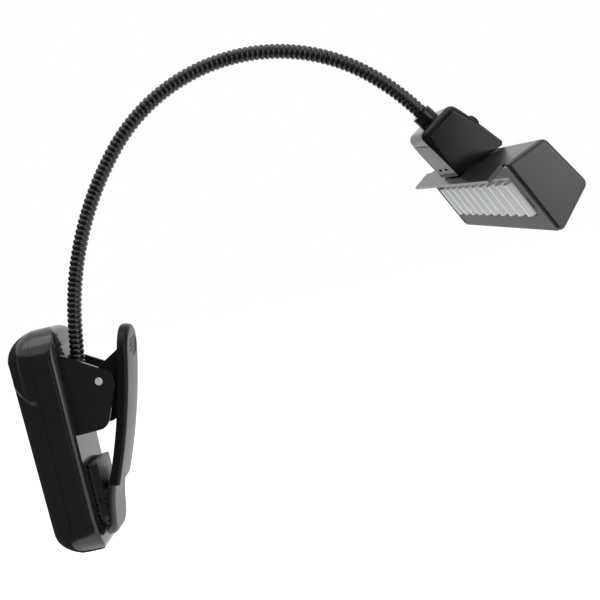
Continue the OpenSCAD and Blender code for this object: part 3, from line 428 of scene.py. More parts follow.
def make_finishes():
    """Every finish of the lamp, by name."""
    c = colours()
    return {
        "casing": moulding(
            "Polished Black Casing", lighter(c.casing, 0.006), 0.17, spread=0.04, wear=0.02,
            grain_height=0.0000004),
        "lever": moulding("Lever Black Casing", c.casing, 0.27, spread=0.06, wear=0.05, specular=0.12),
        "shade": moulding("Shade Black Casing", c.casing, 0.30, wear=0.04, grain_height=0.000001, specular=0.6),
        "satin": moulding("Satin Dark Moulding", c.satin, 0.36, wear=0.04, grain=2200, grain_height=0.00001),
        "collar": moulding(
            "Satin Collar", c.casing, 0.2, wear=0.03, grain=2600, grain_height=0.000002,
            specular=0.25),
        "neck": moulding("Black Coated Gooseneck", c.neck, 0.20, spread=0.12, grain=1800, smudge=200, wear=0.03),
        "housing": moulding(
            "Glossy Black Housing", c.casing, 0.15, spread=0.04, specular=0.2, wear=0.02,
            grain_height=0.0000003),
        "black_pin": moulding("Blackened Pin", c.satin, 0.35),
        # Metallic 0.6 lets the pale steel colour show as diffuse white: a painted sheen on the pin and the spring in
        # place of a bright reflection.
        "steel": metal("Drawn Steel With Painted Sheen", c.steel, 0.5, metallic=0.6),
        "plated": metal("Zinc Plated Steel", c.plated, 0.30, spread=0.3),
        "rubber": moulding("Soft Black Rubber", c.rubber, 0.62, grain=1600, grain_height=0.00003, specular=0.3),
        "lens": clear_lens("Clear Ribbed Lens", c.lens),
        "window": moulding("Dark Window Plate", c.reflector, 0.4, drift=0.02, wear=0.1, specular=0.1),
        "board": moulding("White Solder Mask", c.board, 0.42, drift=0.03, wear=0.05),
        "chip": moulding("Phosphor Chip", (0.85, 0.72, 0.30, 1), 0.3, drift=0.05),
        "resistor": moulding("Resistor Body", (0.03, 0.03, 0.03, 1), 0.45),
        "cell": moulding("Printed Cell Sleeve", c.cell, 0.30, drift=0.03),
        "lead": moulding("Lead Jacket", c.lead, 0.4, drift=0.02),
    }


FINISHES = {}


def finish_named(name):
    """A finish of the lamp, made with the rest when first asked for."""
    if not FINISHES:
        FINISHES.update(make_finishes())
    return FINISHES[name]


# ---------------------------------------------------------------- mesh helpers


def add_piece(name, mesh, finish):
    """A new object for a mesh, with one finish."""
    piece = bpy.data.objects.new(name, mesh)
    bpy.context.scene.collection.objects.link(piece)
    mesh.materials.clear()
    mesh.materials.append(finish_named(finish))
    return piece


def smooth_by_angle(mesh, degrees):
    """Shades a mesh smooth, apart from edges sharper than an angle."""
    mesh.polygons.foreach_set("use_smooth", [True] * len(mesh.polygons))
    mesh.set_sharp_from_angle(angle=math.radians(degrees))
    mesh.update()


def mesh_from(name, points, faces):
    """A mesh from points in metres and faces."""
    mesh = bpy.data.meshes.new(name)
    mesh.from_pydata(points, [], faces)
    mesh.validate()
    mesh.update()
    return mesh


def welded_copy(node):
    """A node's shape as a new mesh, welded, with its flat faces in one piece."""
    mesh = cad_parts[node].data.copy()
    work = bmesh.new()
    work.from_mesh(mesh)
    bmesh.ops.remove_doubles(work, verts=work.verts, dist=0.000004)
    bmesh.ops.dissolve_limit(
        work, angle_limit=math.radians(0.4), verts=work.verts, edges=work.edges, use_dissolve_boundaries=False)
    for attribute in list(mesh.attributes):
        if attribute.name == "custom_normal":
            mesh.attributes.remove(attribute)
    work.to_mesh(mesh)
    work.free()
    if mesh.attributes.get("sharp_face"):
        mesh.attributes.remove(mesh.attributes["sharp_face"])
    return mesh


def baked(piece):
    """Applies a piece's modifiers."""
    bpy.context.view_layer.update()
    graph = bpy.context.evaluated_depsgraph_get()
    mesh = bpy.data.meshes.new_from_object(piece.evaluated_get(graph))
    piece.modifiers.clear()
    piece.data = mesh
    return piece


def round_edges(piece, radius, segments=3, degrees=28):
    """Rounds a piece's sharp edges and shades it smooth."""
    bevel = piece.modifiers.new("edge", "BEVEL")
    bevel.width = radius
    bevel.segments = segments
    bevel.limit_method = "ANGLE"
    bevel.angle_limit = math.radians(degrees)
    bevel.use_clamp_overlap = True
    bevel.miter_outer = "MITER_ARC"
    baked(piece)


def even_shading(piece, degrees=32):
    """Smooth shading that keeps the large flat faces flat."""
    smooth_by_angle(piece.data, degrees)
    weighted = piece.modifiers.new("shading", "WEIGHTED_NORMAL")
    weighted.keep_sharp = True
    weighted.weight = 80
    baked(piece)


def round_rims(piece, place, reach, radius, segments=5, low=-1.0, high=1.0):
    """Rounds the edges that lie on a piece's two side faces, at a reach from its middle plane."""
    back = place.inverted()
    work = bmesh.new()
    work.from_mesh(piece.data)
    chosen = []
    for edge in work.edges:
        ends = [back @ v.co for v in edge.verts]
        if len(edge.link_faces) != 2 or edge.calc_face_angle(0) < math.radians(40):
            continue
        if all(abs(abs(end.y) - reach) < 0.00003 and low < end.z < high for end in ends):
            chosen.append(edge)
    bmesh.ops.bevel(work, geom=chosen, offset=radius, offset_type="OFFSET", segments=segments, profile=0.5,
                    affect="EDGES", clamp_overlap=False)
    work.to_mesh(piece.data)
    work.free()


def settle(piece, body, slot, *nodes):
    """Puts a piece on its body and in the place of its nodes; its slot is not used."""
    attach(piece, body)
    if nodes:
        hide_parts(*nodes)
    return piece


def dressed(node, name, finish, radius, body, slot, segments=3, rims=None, degrees=28):
    """A finished piece with a node's shape and rounded edges, in the node's place."""
    piece = add_piece(name, welded_copy(node), finish)
    if rims:
        round_rims(piece, *rims)
    round_edges(piece, radius, segments, degrees)
    even_shading(piece)
    return settle(piece, body, slot, node)


def finish_nodes(finish, *nodes):
    """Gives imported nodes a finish."""
    for node in nodes:
        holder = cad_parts[node]
        if not holder.material_slots:
            holder.data.materials.append(finish_named(finish))
        for slot in holder.material_slots:
            slot.material = finish_named(finish)
        smooth_by_angle(holder.data, 30)


def grid_faces(rows, width, closed):
    """The faces between rows of points, each row open or closed."""
    faces = []
    for row in range(rows - 1):
        for k in range(width if closed else width - 1):
            a, b = row * width + k, row * width + (k + 1) % width
            faces.append((a, b, b + width, a + width))
    return faces


def spaced(first, last, count):
    """Evenly spaced numbers from first to last."""
    return [first + (last - first) * k / (count - 1) for k in range(count)]


def rolled(inside, radius):
    """How far a rolled edge drops below its face at a distance inside the outline."""
    near = radius - min(inside, radius)
    return radius - math.sqrt(max(radius * radius - near * near, 0))


def profile_at(points, height):
    """The reach of a profile at a height, straight between its points."""
    if height >= points[0][1]:
        return points[0][0]
    for (x1, z1), (x2, z2) in zip(points, points[1:]):
        if height >= z2:
            share = (z1 - height) / (z1 - z2)
            return x1 + (x2 - x1) * share
    return points[-1][0]


def rounded_outline(corners, steps=6):
    """A closed outline from corners that each have a radius."""
    points = []
    count = len(corners)
    for i, (x, z, radius) in enumerate(corners):
        here = Vector((x, z))
        before = Vector(corners[i - 1][:2]) - here
        after = Vector(corners[(i + 1) % count][:2]) - here
        if radius < 0.01:
            points.append(here)
            continue
        half = before.angle(after) / 2
        start = here + before.normalized() * radius / math.tan(half)
        end = here + after.normalized() * radius / math.tan(half)
        middle = here + (before.normalized() + after.normalized()).normalized() * radius / math.sin(half)
        sweep = (start - middle).angle_signed(end - middle)
        for k in range(steps + 1):
            turn = -sweep * k / steps
            arm = start - middle
            points.append(middle + Vector((arm.x * math.cos(turn) - arm.y * math.sin(turn),
                                           arm.x * math.sin(turn) + arm.y * math.cos(turn))))
    return points


def moved_in(points, by):
    """An outline moved inwards, point by point."""
    area = sum(a.x * b.y - b.x * a.y for a, b in zip(points, points[1:] + points[:1]))
    side = 1 if area > 0 else -1
    moved = []
    count = len(points)
    for i, here in enumerate(points):
        run = (points[(i + 1) % count] - points[i - 1]).normalized()
        moved.append(here + Vector((-run.y, run.x)) * side * by)
    return moved


def rounded_plate(name, outline, place, low, high, edge, finish, steps=4):
    """A flat plate with rounded rims: its outline lies in X and Z of place, in mm, and it is thick along Y."""
    rings = [(low + edge * (1 - math.sin(k * math.pi / 2 / steps)), edge * (1 - math.cos(k * math.pi / 2 / steps)))
             for k in range(steps, -1, -1)]
    rings = rings + [(low + high - y, inset) for y, inset in reversed(rings)]
    points = []
    for y, inset in rings:
        points += [place @ (Vector((p.x, y, p.y)) * MM) for p in moved_in(outline, inset)]
    count = len(outline)
    faces = grid_faces(len(rings), count, True)
    faces.append(tuple(reversed(range(count))))
    faces.append(tuple(range(len(points) - count, len(points))))
    mesh = outward(mesh_from(name, points, faces))
    piece = add_piece(name, mesh, finish)
    even_shading(piece, 40)
    return piece


def outward(mesh):
    """Turns a closed mesh's faces outward."""
    work = bmesh.new()
    work.from_mesh(mesh)
    bmesh.ops.recalc_face_normals(work, faces=work.faces)
    work.to_mesh(mesh)
    work.free()
    return mesh


def two_faced(name, rows, finish, degrees):
    """A closed piece from rows of point pairs, one on its outer face and one on its inner face."""
    width, count = len(rows[0]), len(rows)
    points = [pair[0] for row in rows for pair in row] + [pair[1] for row in rows for pair in row]
    half = width * count
    faces = []
    for r in range(count - 1):
        for k in range(width - 1):
            a = r * width + k
            faces.append((a, a + 1, a + width + 1, a + width))
            faces.append((half + a, half + a + width, half + a + width + 1, half + a + 1))
    rim = list(range(width)) + [r * width + width - 1 for r in range(1, count)]
    rim += [(count - 1) * width + k for k in range(width - 2, -1, -1)] + [r * width for r in range(count - 2, 0, -1)]
    for a, b in zip(rim, rim[1:] + rim[:1]):
        faces.append((b, a, half + a, half + b))
    piece = add_piece(name, outward(mesh_from(name, points, faces)), finish)
    smooth_by_angle(piece.data, degrees)
    return piece


# ---------------------------------------------------------------- places along the lamp


def walk_stretch(stretch, share):
    """The move along a share of one stretch of the gooseneck."""
    radius, angle, turn = stretch
    if not angle:
        return Matrix.Translation((0, 0, radius * MM * share))
    swing = Matrix.Rotation(math.radians(turn), 4, "Z")
    out = Matrix.Translation((radius * MM, 0, 0))
    bend = Matrix.Rotation(math.radians(angle * share), 4, "Y")
    return swing @ out @ bend @ out.inverted() @ swing.inverted()


def stretch_length(stretch):
    """Length of one stretch of the gooseneck, in metres."""
    radius, angle, _ = stretch
    return radius * MM * (math.radians(angle) if angle else 1)


def neck_marks():
    """The frame and the distance at the start of each stretch, and at the far end."""
    place = Matrix.Translation(NECK_FOOT) @ Matrix.Rotation(NECK_LEAN, 4, "Y")
    marks, distance = [(place, 0.0)], 0.0
    for stretch in NECK_STRETCHES:
        place = place @ walk_stretch(stretch, 1)
        distance += stretch_length(stretch)
        marks.append((place, distance))
    return marks


NECK_MARKS = neck_marks()
HEAD = NECK_MARKS[7][0]


def along_neck(distance):
    """The frame at a distance along the gooseneck."""
    for i, stretch in enumerate(NECK_STRETCHES):
        place, begin = NECK_MARKS[i]
        length = stretch_length(stretch)
        if distance <= begin + length + 1e-9 or i == len(NECK_STRETCHES) - 1:
            return place @ walk_stretch(stretch, (distance - begin) / length)


def lever_frame():
    """The lever's own frame: its origin at the hinge pin, Z up the lever."""
    return Matrix.Translation(LEVER_PIN) @ Matrix.Rotation(LEVER_LEAN, 4, "Y")


def lever_half_width(height):
    """Half the lever's width at a height above the pin, in mm."""
    return 11.8 + 0.6 * (height + 68) / (68 + LEVER_TOP)


def dome_half_width(height):
    """Half the lever's width with its round top, in mm."""
    if height <= LEVER_TOP - DOME_R:
        return lever_half_width(height)
    return DOME_FLAT + math.sqrt(max(DOME_R ** 2 - (height - LEVER_TOP + DOME_R) ** 2, 0))


def line_reach(outline, height, side):
    """How far an outline reaches to one side at a height."""
    best = None
    for p, q in zip(outline, outline[1:] + outline[:1]):
        if (p.y - height) * (q.y - height) <= 0 and p.y != q.y:
            x = p.x + (q.x - p.x) * (height - p.y) / (q.y - p.y)
            if best is None or x * side > best * side:
                best = x
    return best


# The casing in mm: its ends, depths and half widths at both, the split between its halves and its edge radii
CASING_LOW, CASING_TOP = -16.2, 85.2
DEPTH_LOW, DEPTH_TOP = 21.2, 23.4
HALF_LOW, HALF_TOP = 18.2, 19.2
SPLIT_X = 10.5
BACK_R, FACE_R = 11, 3
# The arched seam over the battery door, where the search for it starts, and the gap on each side of it
ARCH_Z, ARCH_R = 48.5, 19.8
ARCH_START = 12
GAP_BELOW, GAP_ABOVE = 0.17, 0.13
FAR_OUT = 100
SKIN_INSET = 0.07
SIDE_OUTLINE = rounded_outline(
    [(-DEPTH_LOW, CASING_LOW, 14.5), (0, CASING_LOW, 5.5), (0, CASING_TOP, 4), (-DEPTH_TOP, CASING_TOP, 14)], 24)
FRONT_OUTLINE = rounded_outline(
    [(-HALF_LOW, CASING_LOW, 17.6), (HALF_LOW, CASING_LOW, 17.6), (HALF_TOP, CASING_TOP, 14),
     (-HALF_TOP, CASING_TOP, 14)], 24)
SLANT_LOW = (DEPTH_LOW - BACK_R + HALF_LOW - BACK_R) / math.sqrt(2) + BACK_R
SLANT_TOP = (DEPTH_TOP - BACK_R + HALF_TOP - BACK_R) / math.sqrt(2) + BACK_R
SLANT_OUTLINE = rounded_outline(
    [(-FAR_OUT, CASING_LOW, 0), (SLANT_LOW, CASING_LOW, 17), (SLANT_TOP, CASING_TOP, 15),
     (-FAR_OUT, CASING_TOP, 0)], 24)
LIMITS = {}


def casing_limits(z):
    """The casing's back, front, half width and slant reach at a height, and its untrimmed back and half width."""
    if not CASING_LOW < z < CASING_TOP:
        return None
    key = round(z, 4)
    if key not in LIMITS:
        share = (z - CASING_LOW) / (CASING_TOP - CASING_LOW)
        LIMITS[key] = (line_reach(SIDE_OUTLINE, z, -1), line_reach(SIDE_OUTLINE, z, 1),
                       line_reach(FRONT_OUTLINE, z, 1), line_reach(SLANT_OUTLINE, z, 1),
                       -DEPTH_LOW - (DEPTH_TOP - DEPTH_LOW) * share,
                       HALF_LOW + (HALF_TOP - HALF_LOW) * share)
    return LIMITS[key]


def casing_margin(x, y, z, softness=0.45):
    """How far inside the casing's outside a point lies, in mm, with y taken on the positive side."""
    back, front, half, slant, full_back, full_half = casing_limits(z)
    margins = [x - back, front - x, half - y, (slant * math.sqrt(2) + x - y) / math.sqrt(2)]
    if x < full_back + BACK_R and y > full_half - BACK_R:
        margins.append(BACK_R - math.hypot(full_back + BACK_R - x, y - full_half + BACK_R))
    if x > -FACE_R and y > full_half - FACE_R:
        margins.append(FACE_R - math.hypot(x + FACE_R, y - full_half + FACE_R))
    least = min(margins)
    if not softness:
        return least
    return least - softness * math.log(sum(math.exp(-(m - least) / softness) for m in margins))


def last_inside(margin, inside, outside, least=0.0, rounds=18):
    """The last point between two numbers where a margin is more than its least."""
    for _ in range(rounds):
        middle = (inside + outside) / 2
        if margin(middle) > least:
            inside = middle
        else:
            outside = middle
    return inside


def casing_reach(x, z):
    """The casing's half width at a depth and a height."""
    return last_inside(lambda y: casing_margin(x, y, z), 0.0, 20.0)


def casing_ray(around, z):
    """Where a line from the middle of the split meets the casing's back."""
    start, way_x, way_y = -SPLIT_X - SKIN_INSET, -math.cos(around), math.sin(around)
    reach = last_inside(lambda t: casing_margin(start + way_x * t, abs(way_y * t), z), 0.0, 26.0)
    return (start + way_x * reach, way_y * reach)


def back_ends():
    """The lowest and highest point of the back half."""
    start = -SPLIT_X - SKIN_INSET
    return [last_inside(lambda z: casing_margin(start, 0, z), inside, outside, 0.02, 24)
            for inside, outside in ((20.0, CASING_LOW + 0.01), (60.0, CASING_TOP - 0.01))]


def eased_heights(low, high, count=72):
    """Heights from low to high, closer together at the ends."""
    return [low + (high - low) * (1 - math.cos(math.pi * k / count)) / 2 for k in range(count + 1)]


def rib_radius_at(share):
    """Radius over one rib, from groove to groove."""
    s = sizes()
    return s.rib_radius - s.rib_depth * abs(2 * share - 1) ** 3


# ---------------------------------------------------------------- operators


class LAMP_OT_camera(bpy.types.Operator):
    """Place the camera"""

    bl_idname = "lamp.camera"
    bl_label = "Camera"

    def execute(self, context):
        data = bpy.data.cameras.new("lamp_camera")
        data.lens = CAMERA_LENS
        data.sensor_width = CAMERA_SENSOR
        data.clip_start = CAMERA_CLIP
        camera = bpy.data.objects.new("lamp_camera", data)
        context.scene.collection.objects.link(camera)
        right = CAMERA_RIGHT.normalized()
        forward = CAMERA_FORWARD.normalized()
        up = right.cross(forward)
        place = Matrix((right, up, -forward)).transposed().to_4x4()
        place.translation = CAMERA_PLACE
        camera.matrix_world = place
        context.scene.camera = camera
        return {"FINISHED"}


def soft_box(name, place, aim, width, height, radiance):
    """A rectangular studio light of an even brightness."""
    data = bpy.data.lights.new(name, "AREA")
    data.shape = "RECTANGLE"
    data.size = width
    data.size_y = height
    data.energy = radiance * math.pi * width * height
    lamp = bpy.data.objects.new(name, data)
    bpy.context.scene.collection.objects.link(lamp)
    lamp.location = place
    lamp.rotation_euler = (Vector(aim) - Vector(place)).to_track_quat("-Z", "Y").to_euler()
    lamp.visible_camera = False
    return lamp


def seen_ray(tree):
    """One for rays from the camera, from reflections and through clear plastic."""
    path = tree.nodes.new("ShaderNodeLightPath")
    either = math_node(tree, "MAXIMUM", path.outputs["Is Camera Ray"], path.outputs["Is Glossy Ray"])
    return math_node(tree, "MAXIMUM", either, path.outputs["Is Transmission Ray"])


class LAMP_OT_stage(bpy.types.Operator):
    """Build the floor, the flag, the lights and the pale surroundings"""

    bl_idname = "lamp.stage"
    bl_label = "Stage"

    def execute(self, context):
        self.surroundings(context)
        self.floor(context)
        self.flag(context)
        middle = (CAD_BOX[0] + CAD_BOX[1]) / 2
        soft_box("top_box", (0.05, -0.30, 1.25), middle, 1.1, 0.8, 1.6)
        soft_box("right_box", (0.982, -1.078, 0.10), middle, 0.7, 0.9, 2.6)
        soft_box("left_box", (-1.10, -0.55, 0.35), middle, 0.16, 0.8, 1.0)
        context.scene.view_settings.view_transform = "Standard"
        return {"FINISHED"}

    def surroundings(self, context):
        """White to the camera and in reflections, softer as light."""
        world = bpy.data.worlds.new("studio")
        world.use_nodes = True
        context.scene.world = world
        world.cycles.sampling_method = "NONE"
        tree = world.node_tree
        output = tree.nodes["World Output"]
        light = tree.nodes["Background"]
        light.inputs["Color"].default_value = (1, 1, 1, 1)
        light.inputs["Strength"].default_value = 0.62
        seen = tree.nodes.new("ShaderNodeBackground")
        seen.inputs["Color"].default_value = (1, 1, 1, 1)
        seen.inputs["Strength"].default_value = 1
        any_of = seen_ray(tree)
        mix = tree.nodes.new("ShaderNodeMixShader")
        tree.links.new(any_of, mix.inputs["Fac"])
        tree.links.new(light.outputs["Background"], mix.inputs[1])
        tree.links.new(seen.outputs["Background"], mix.inputs[2])
        tree.links.new(mix.outputs["Shader"], output.inputs["Surface"])

    def floor(self, context):
        """A plain pale floor that keeps the lamp's shadow."""
        height = CAD_BOX[0].z - 0.10
        reach = 6.0
        corners = [(-reach, -reach, height), (reach, -reach, height), (reach, reach, height), (-reach, reach, height)]
        mesh = mesh_from("studio_floor", corners, [(0, 1, 2, 3)])
        floor = bpy.data.objects.new("studio_floor", mesh)
        context.scene.collection.objects.link(floor)
        material, tree, shader = new_material("Pale Floor")
        paper = noise_node(tree, 3)
        paper.inputs["Scale"].default_value = 40
        tint = mix_colour(tree, paper.outputs["Fac"], (0.84, 0.84, 0.84, 1), (0.88, 0.88, 0.88, 1))
        tree.links.new(tint, shader.inputs["Base Color"])
        shader.inputs["Roughness"].default_value = 0.9
        shader.inputs["Specular IOR Level"].default_value = 0.0
        glow = tree.nodes.new("ShaderNodeEmission")
        glow.inputs["Strength"].default_value = 0.60
        any_of = seen_ray(tree)
        nothing = tree.nodes.new("ShaderNodeEmission")
        nothing.inputs["Strength"].default_value = 0
        pick = tree.nodes.new("ShaderNodeMixShader")
        tree.links.new(any_of, pick.inputs["Fac"])
        tree.links.new(nothing.outputs["Emission"], pick.inputs[1])
        tree.links.new(glow.outputs["Emission"], pick.inputs[2])
        both = tree.nodes.new("ShaderNodeAddShader")
        tree.links.new(shader.outputs["BSDF"], both.inputs[0])
        tree.links.new(pick.outputs["Shader"], both.inputs[1])
        tree.links.new(both.outputs["Shader"], tree.nodes["Material Output"].inputs["Surface"])
        mesh.materials.append(material)

    def flag(self, context):
        """A dark studio flag, curved round the front and the left, that only shows in reflections."""
        low = CAD_BOX[0].z - 0.097
        edge = ((0.16, low), (1.5, low), (1.5, 0.80))
        steps, points, faces = 24, [], []
        for k in range(steps + 1):
            around = math.radians(-146 + 171 * k / steps)
            for reach, height in edge:
                points.append((0.10 + reach * math.sin(around), -reach * math.cos(around), height))
        for k in range(steps):
            for row in range(2):
                at = 3 * k + row
                faces.append((at, at + 3, at + 4, at + 1))
        mesh = mesh_from("studio_flag", points, faces)
        flag = bpy.data.objects.new("studio_flag", mesh)
        context.scene.collection.objects.link(flag)
        material, tree, shader = new_material("Dark Flag Cloth")
        cloth = noise_node(tree, 2)
        cloth.inputs["Scale"].default_value = 60
        tint = mix_colour(tree, cloth.outputs["Fac"], (0.02, 0.02, 0.02, 1), (0.05, 0.05, 0.05, 1))
        tree.links.new(tint, shader.inputs["Base Color"])
        shader.inputs["Roughness"].default_value = 1
        mesh.materials.append(material)
        flag.visible_camera = False
        flag.visible_diffuse = False
        flag.visible_shadow = False


class LAMP_OT_gooseneck(bpy.types.Operator):
    """Build the ribbed gooseneck, which bends at each of its joints"""

    bl_idname = "lamp.gooseneck"
    bl_label = "Gooseneck"

    def execute(self, context):
        pitch = sizes().rib_pitch
        total = NECK_MARKS[-1][1]
        cuts = [0.0]
        for i in range(1, 6):
            middle = (NECK_MARKS[i][1] + NECK_MARKS[i + 1][1]) / 2
            cuts.append(round(middle / pitch) * pitch)
        cuts.append(total)
        for i, name in enumerate(NECK_PIECES):
            piece = add_piece(name, self.ribbed_tube(name, cuts[i], cuts[i + 1]), "neck")
            joint = NECK_MARKS[i + 1][0]
            way = joint.to_3x3() @ Vector((0, 0, NECK_BLEND))
            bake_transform(piece, NECK_BODIES[i], NECK_BODIES[i + 1], joint.translation - way, joint.translation + way)
            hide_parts(NECK_NODES[i], NECK_NODES[i + 1])
        return {"FINISHED"}

    def ribbed_tube(self, name, begin, end):
        """One length of ribbed tube, cut in its grooves."""
        pitch, sides, rings_a_rib = sizes().rib_pitch, 28, 10
        step = pitch / rings_a_rib
        rows = [begin + step * k for k in range(int((end - begin) / step + 0.5) + 1)]
        points = []
        for distance in rows:
            place = along_neck(min(distance, end))
            radius = rib_radius_at((distance / pitch + 1e-7) % 1)
            for side in range(sides):
                around = FULL_TURN * side / sides
                points.append(place @ Vector((radius * math.cos(around), radius * math.sin(around), 0)))
        mesh = mesh_from(name, points, grid_faces(len(rows), sides, True))
        mesh.polygons.foreach_set("use_smooth", [True] * len(mesh.polygons))
        return mesh


class LAMP_OT_casing(bpy.types.Operator):
    """Build the clip's two shells and its battery door"""

    bl_idname = "lamp.casing"
    bl_label = "Casing"

    def execute(self, context):
        for node, name, body in (("outer_cover", "casing_back_inside", "clip"),
                                 ("inner_shell", "casing_front_inside", "clip"),
                                 ("battery_door", "battery_cover_inside", "door")):
            piece = add_piece(name, welded_copy(node), "casing")
            self.drop_outer_faces(piece.data)
            even_shading(piece)
            settle(piece, body, "casing", node)
        front = self.front_skin()
        cover = self.back_skin("casing_back", False)
        door = self.back_skin("battery_cover", True)
        for piece, body in ((front, "clip"), (cover, "clip"), (door, "door")):
            settle(piece, body, "casing")
        return {"FINISHED"}

    def drop_outer_faces(self, mesh):
        """Leaves out the faces that the smooth skins stand for."""
        work = bmesh.new()
        work.from_mesh(mesh)
        outer = []
        for face in work.faces:
            points = [v.co / MM for v in face.verts]
            if all(p.x < 0.02 and (not casing_limits(p.z) or casing_margin(p.x, abs(p.y), p.z, 0) < 0.12)
                   for p in points):
                outer.append(face)
        bmesh.ops.delete(work, geom=outer, context="FACES")
        work.to_mesh(mesh)
        work.free()

    def front_skin(self):
        """The front half's smooth outside, with the clamping face."""
        steps = 26
        rows = []
        low, high = CASING_LOW + 0.004, CASING_TOP - 0.004
        for z in eased_heights(low, high):
            front = casing_limits(z)[1] - 0.01
            line = []
            for j in range(steps + 1):
                x = -SPLIT_X + 0.08 + (front + SPLIT_X - 0.08) * math.sin(math.pi / 2 * j / steps)
                line.append((x, casing_reach(x, z)))
            rows.append((z, line))
        points = []
        width = 2 * (steps + 1)
        for z, line in rows:
            points += [Vector((x, -y, z)) * MM for x, y in line]
            points += [Vector((x, y, z)) * MM for x, y in reversed(line)]
        faces = grid_faces(len(rows), width, False)
        faces.append(tuple(reversed(range(width))))
        faces.append(tuple(range((len(rows) - 1) * width, len(rows) * width)))
        return self.skin("casing_front", points, faces)

    def back_skin(self, name, below):
        """The back half's smooth outside, below or above the arched seam."""
        steps = 60
        low, high = back_ends()
        columns = []
        for k in range(steps + 1):
            around = math.pi * (k / steps - 0.5)
            seam = ARCH_Z + ARCH_START
            for _ in range(12):
                y = casing_ray(around, seam)[1]
                seam = ARCH_Z + math.sqrt(max(ARCH_R ** 2 - y * y, 0))
            first, last = (low, seam - GAP_BELOW) if below else (seam + GAP_ABOVE, high)
            columns.append([casing_ray(around, z) + (z,) for z in eased_heights(first, last, 44)])
        points = [Vector(p) * MM for column in columns for p in column]
        count = len(columns[0])
        faces = []
        for k in range(steps):
            for r in range(count - 1):
                a = k * count + r
                faces.append((a, a + count, a + count + 1, a + 1))
        return self.skin(name, points, faces)

    def skin(self, name, points, faces):
        """A thin shell whose outside is the given surface."""
        mesh = mesh_from(name, points, faces)
        work = bmesh.new()
        work.from_mesh(mesh)
        bmesh.ops.remove_doubles(work, verts=work.verts, dist=0.00001)
        bmesh.ops.recalc_face_normals(work, faces=work.faces)
        middle = Vector((-0.0095, 0, 0.035))
        side = sum((f.calc_center_median() - middle).dot(f.normal) * f.calc_area() for f in work.faces)
        if side < 0:
            bmesh.ops.reverse_faces(work, faces=work.faces)
        work.to_mesh(mesh)
        work.free()
        piece = add_piece(name, mesh, "casing")
        thick = piece.modifiers.new("wall", "SOLIDIFY")
        thick.thickness = 0.9 * MM
        thick.offset = -1
        baked(piece)
        smooth_by_angle(piece.data, 50)
        return piece


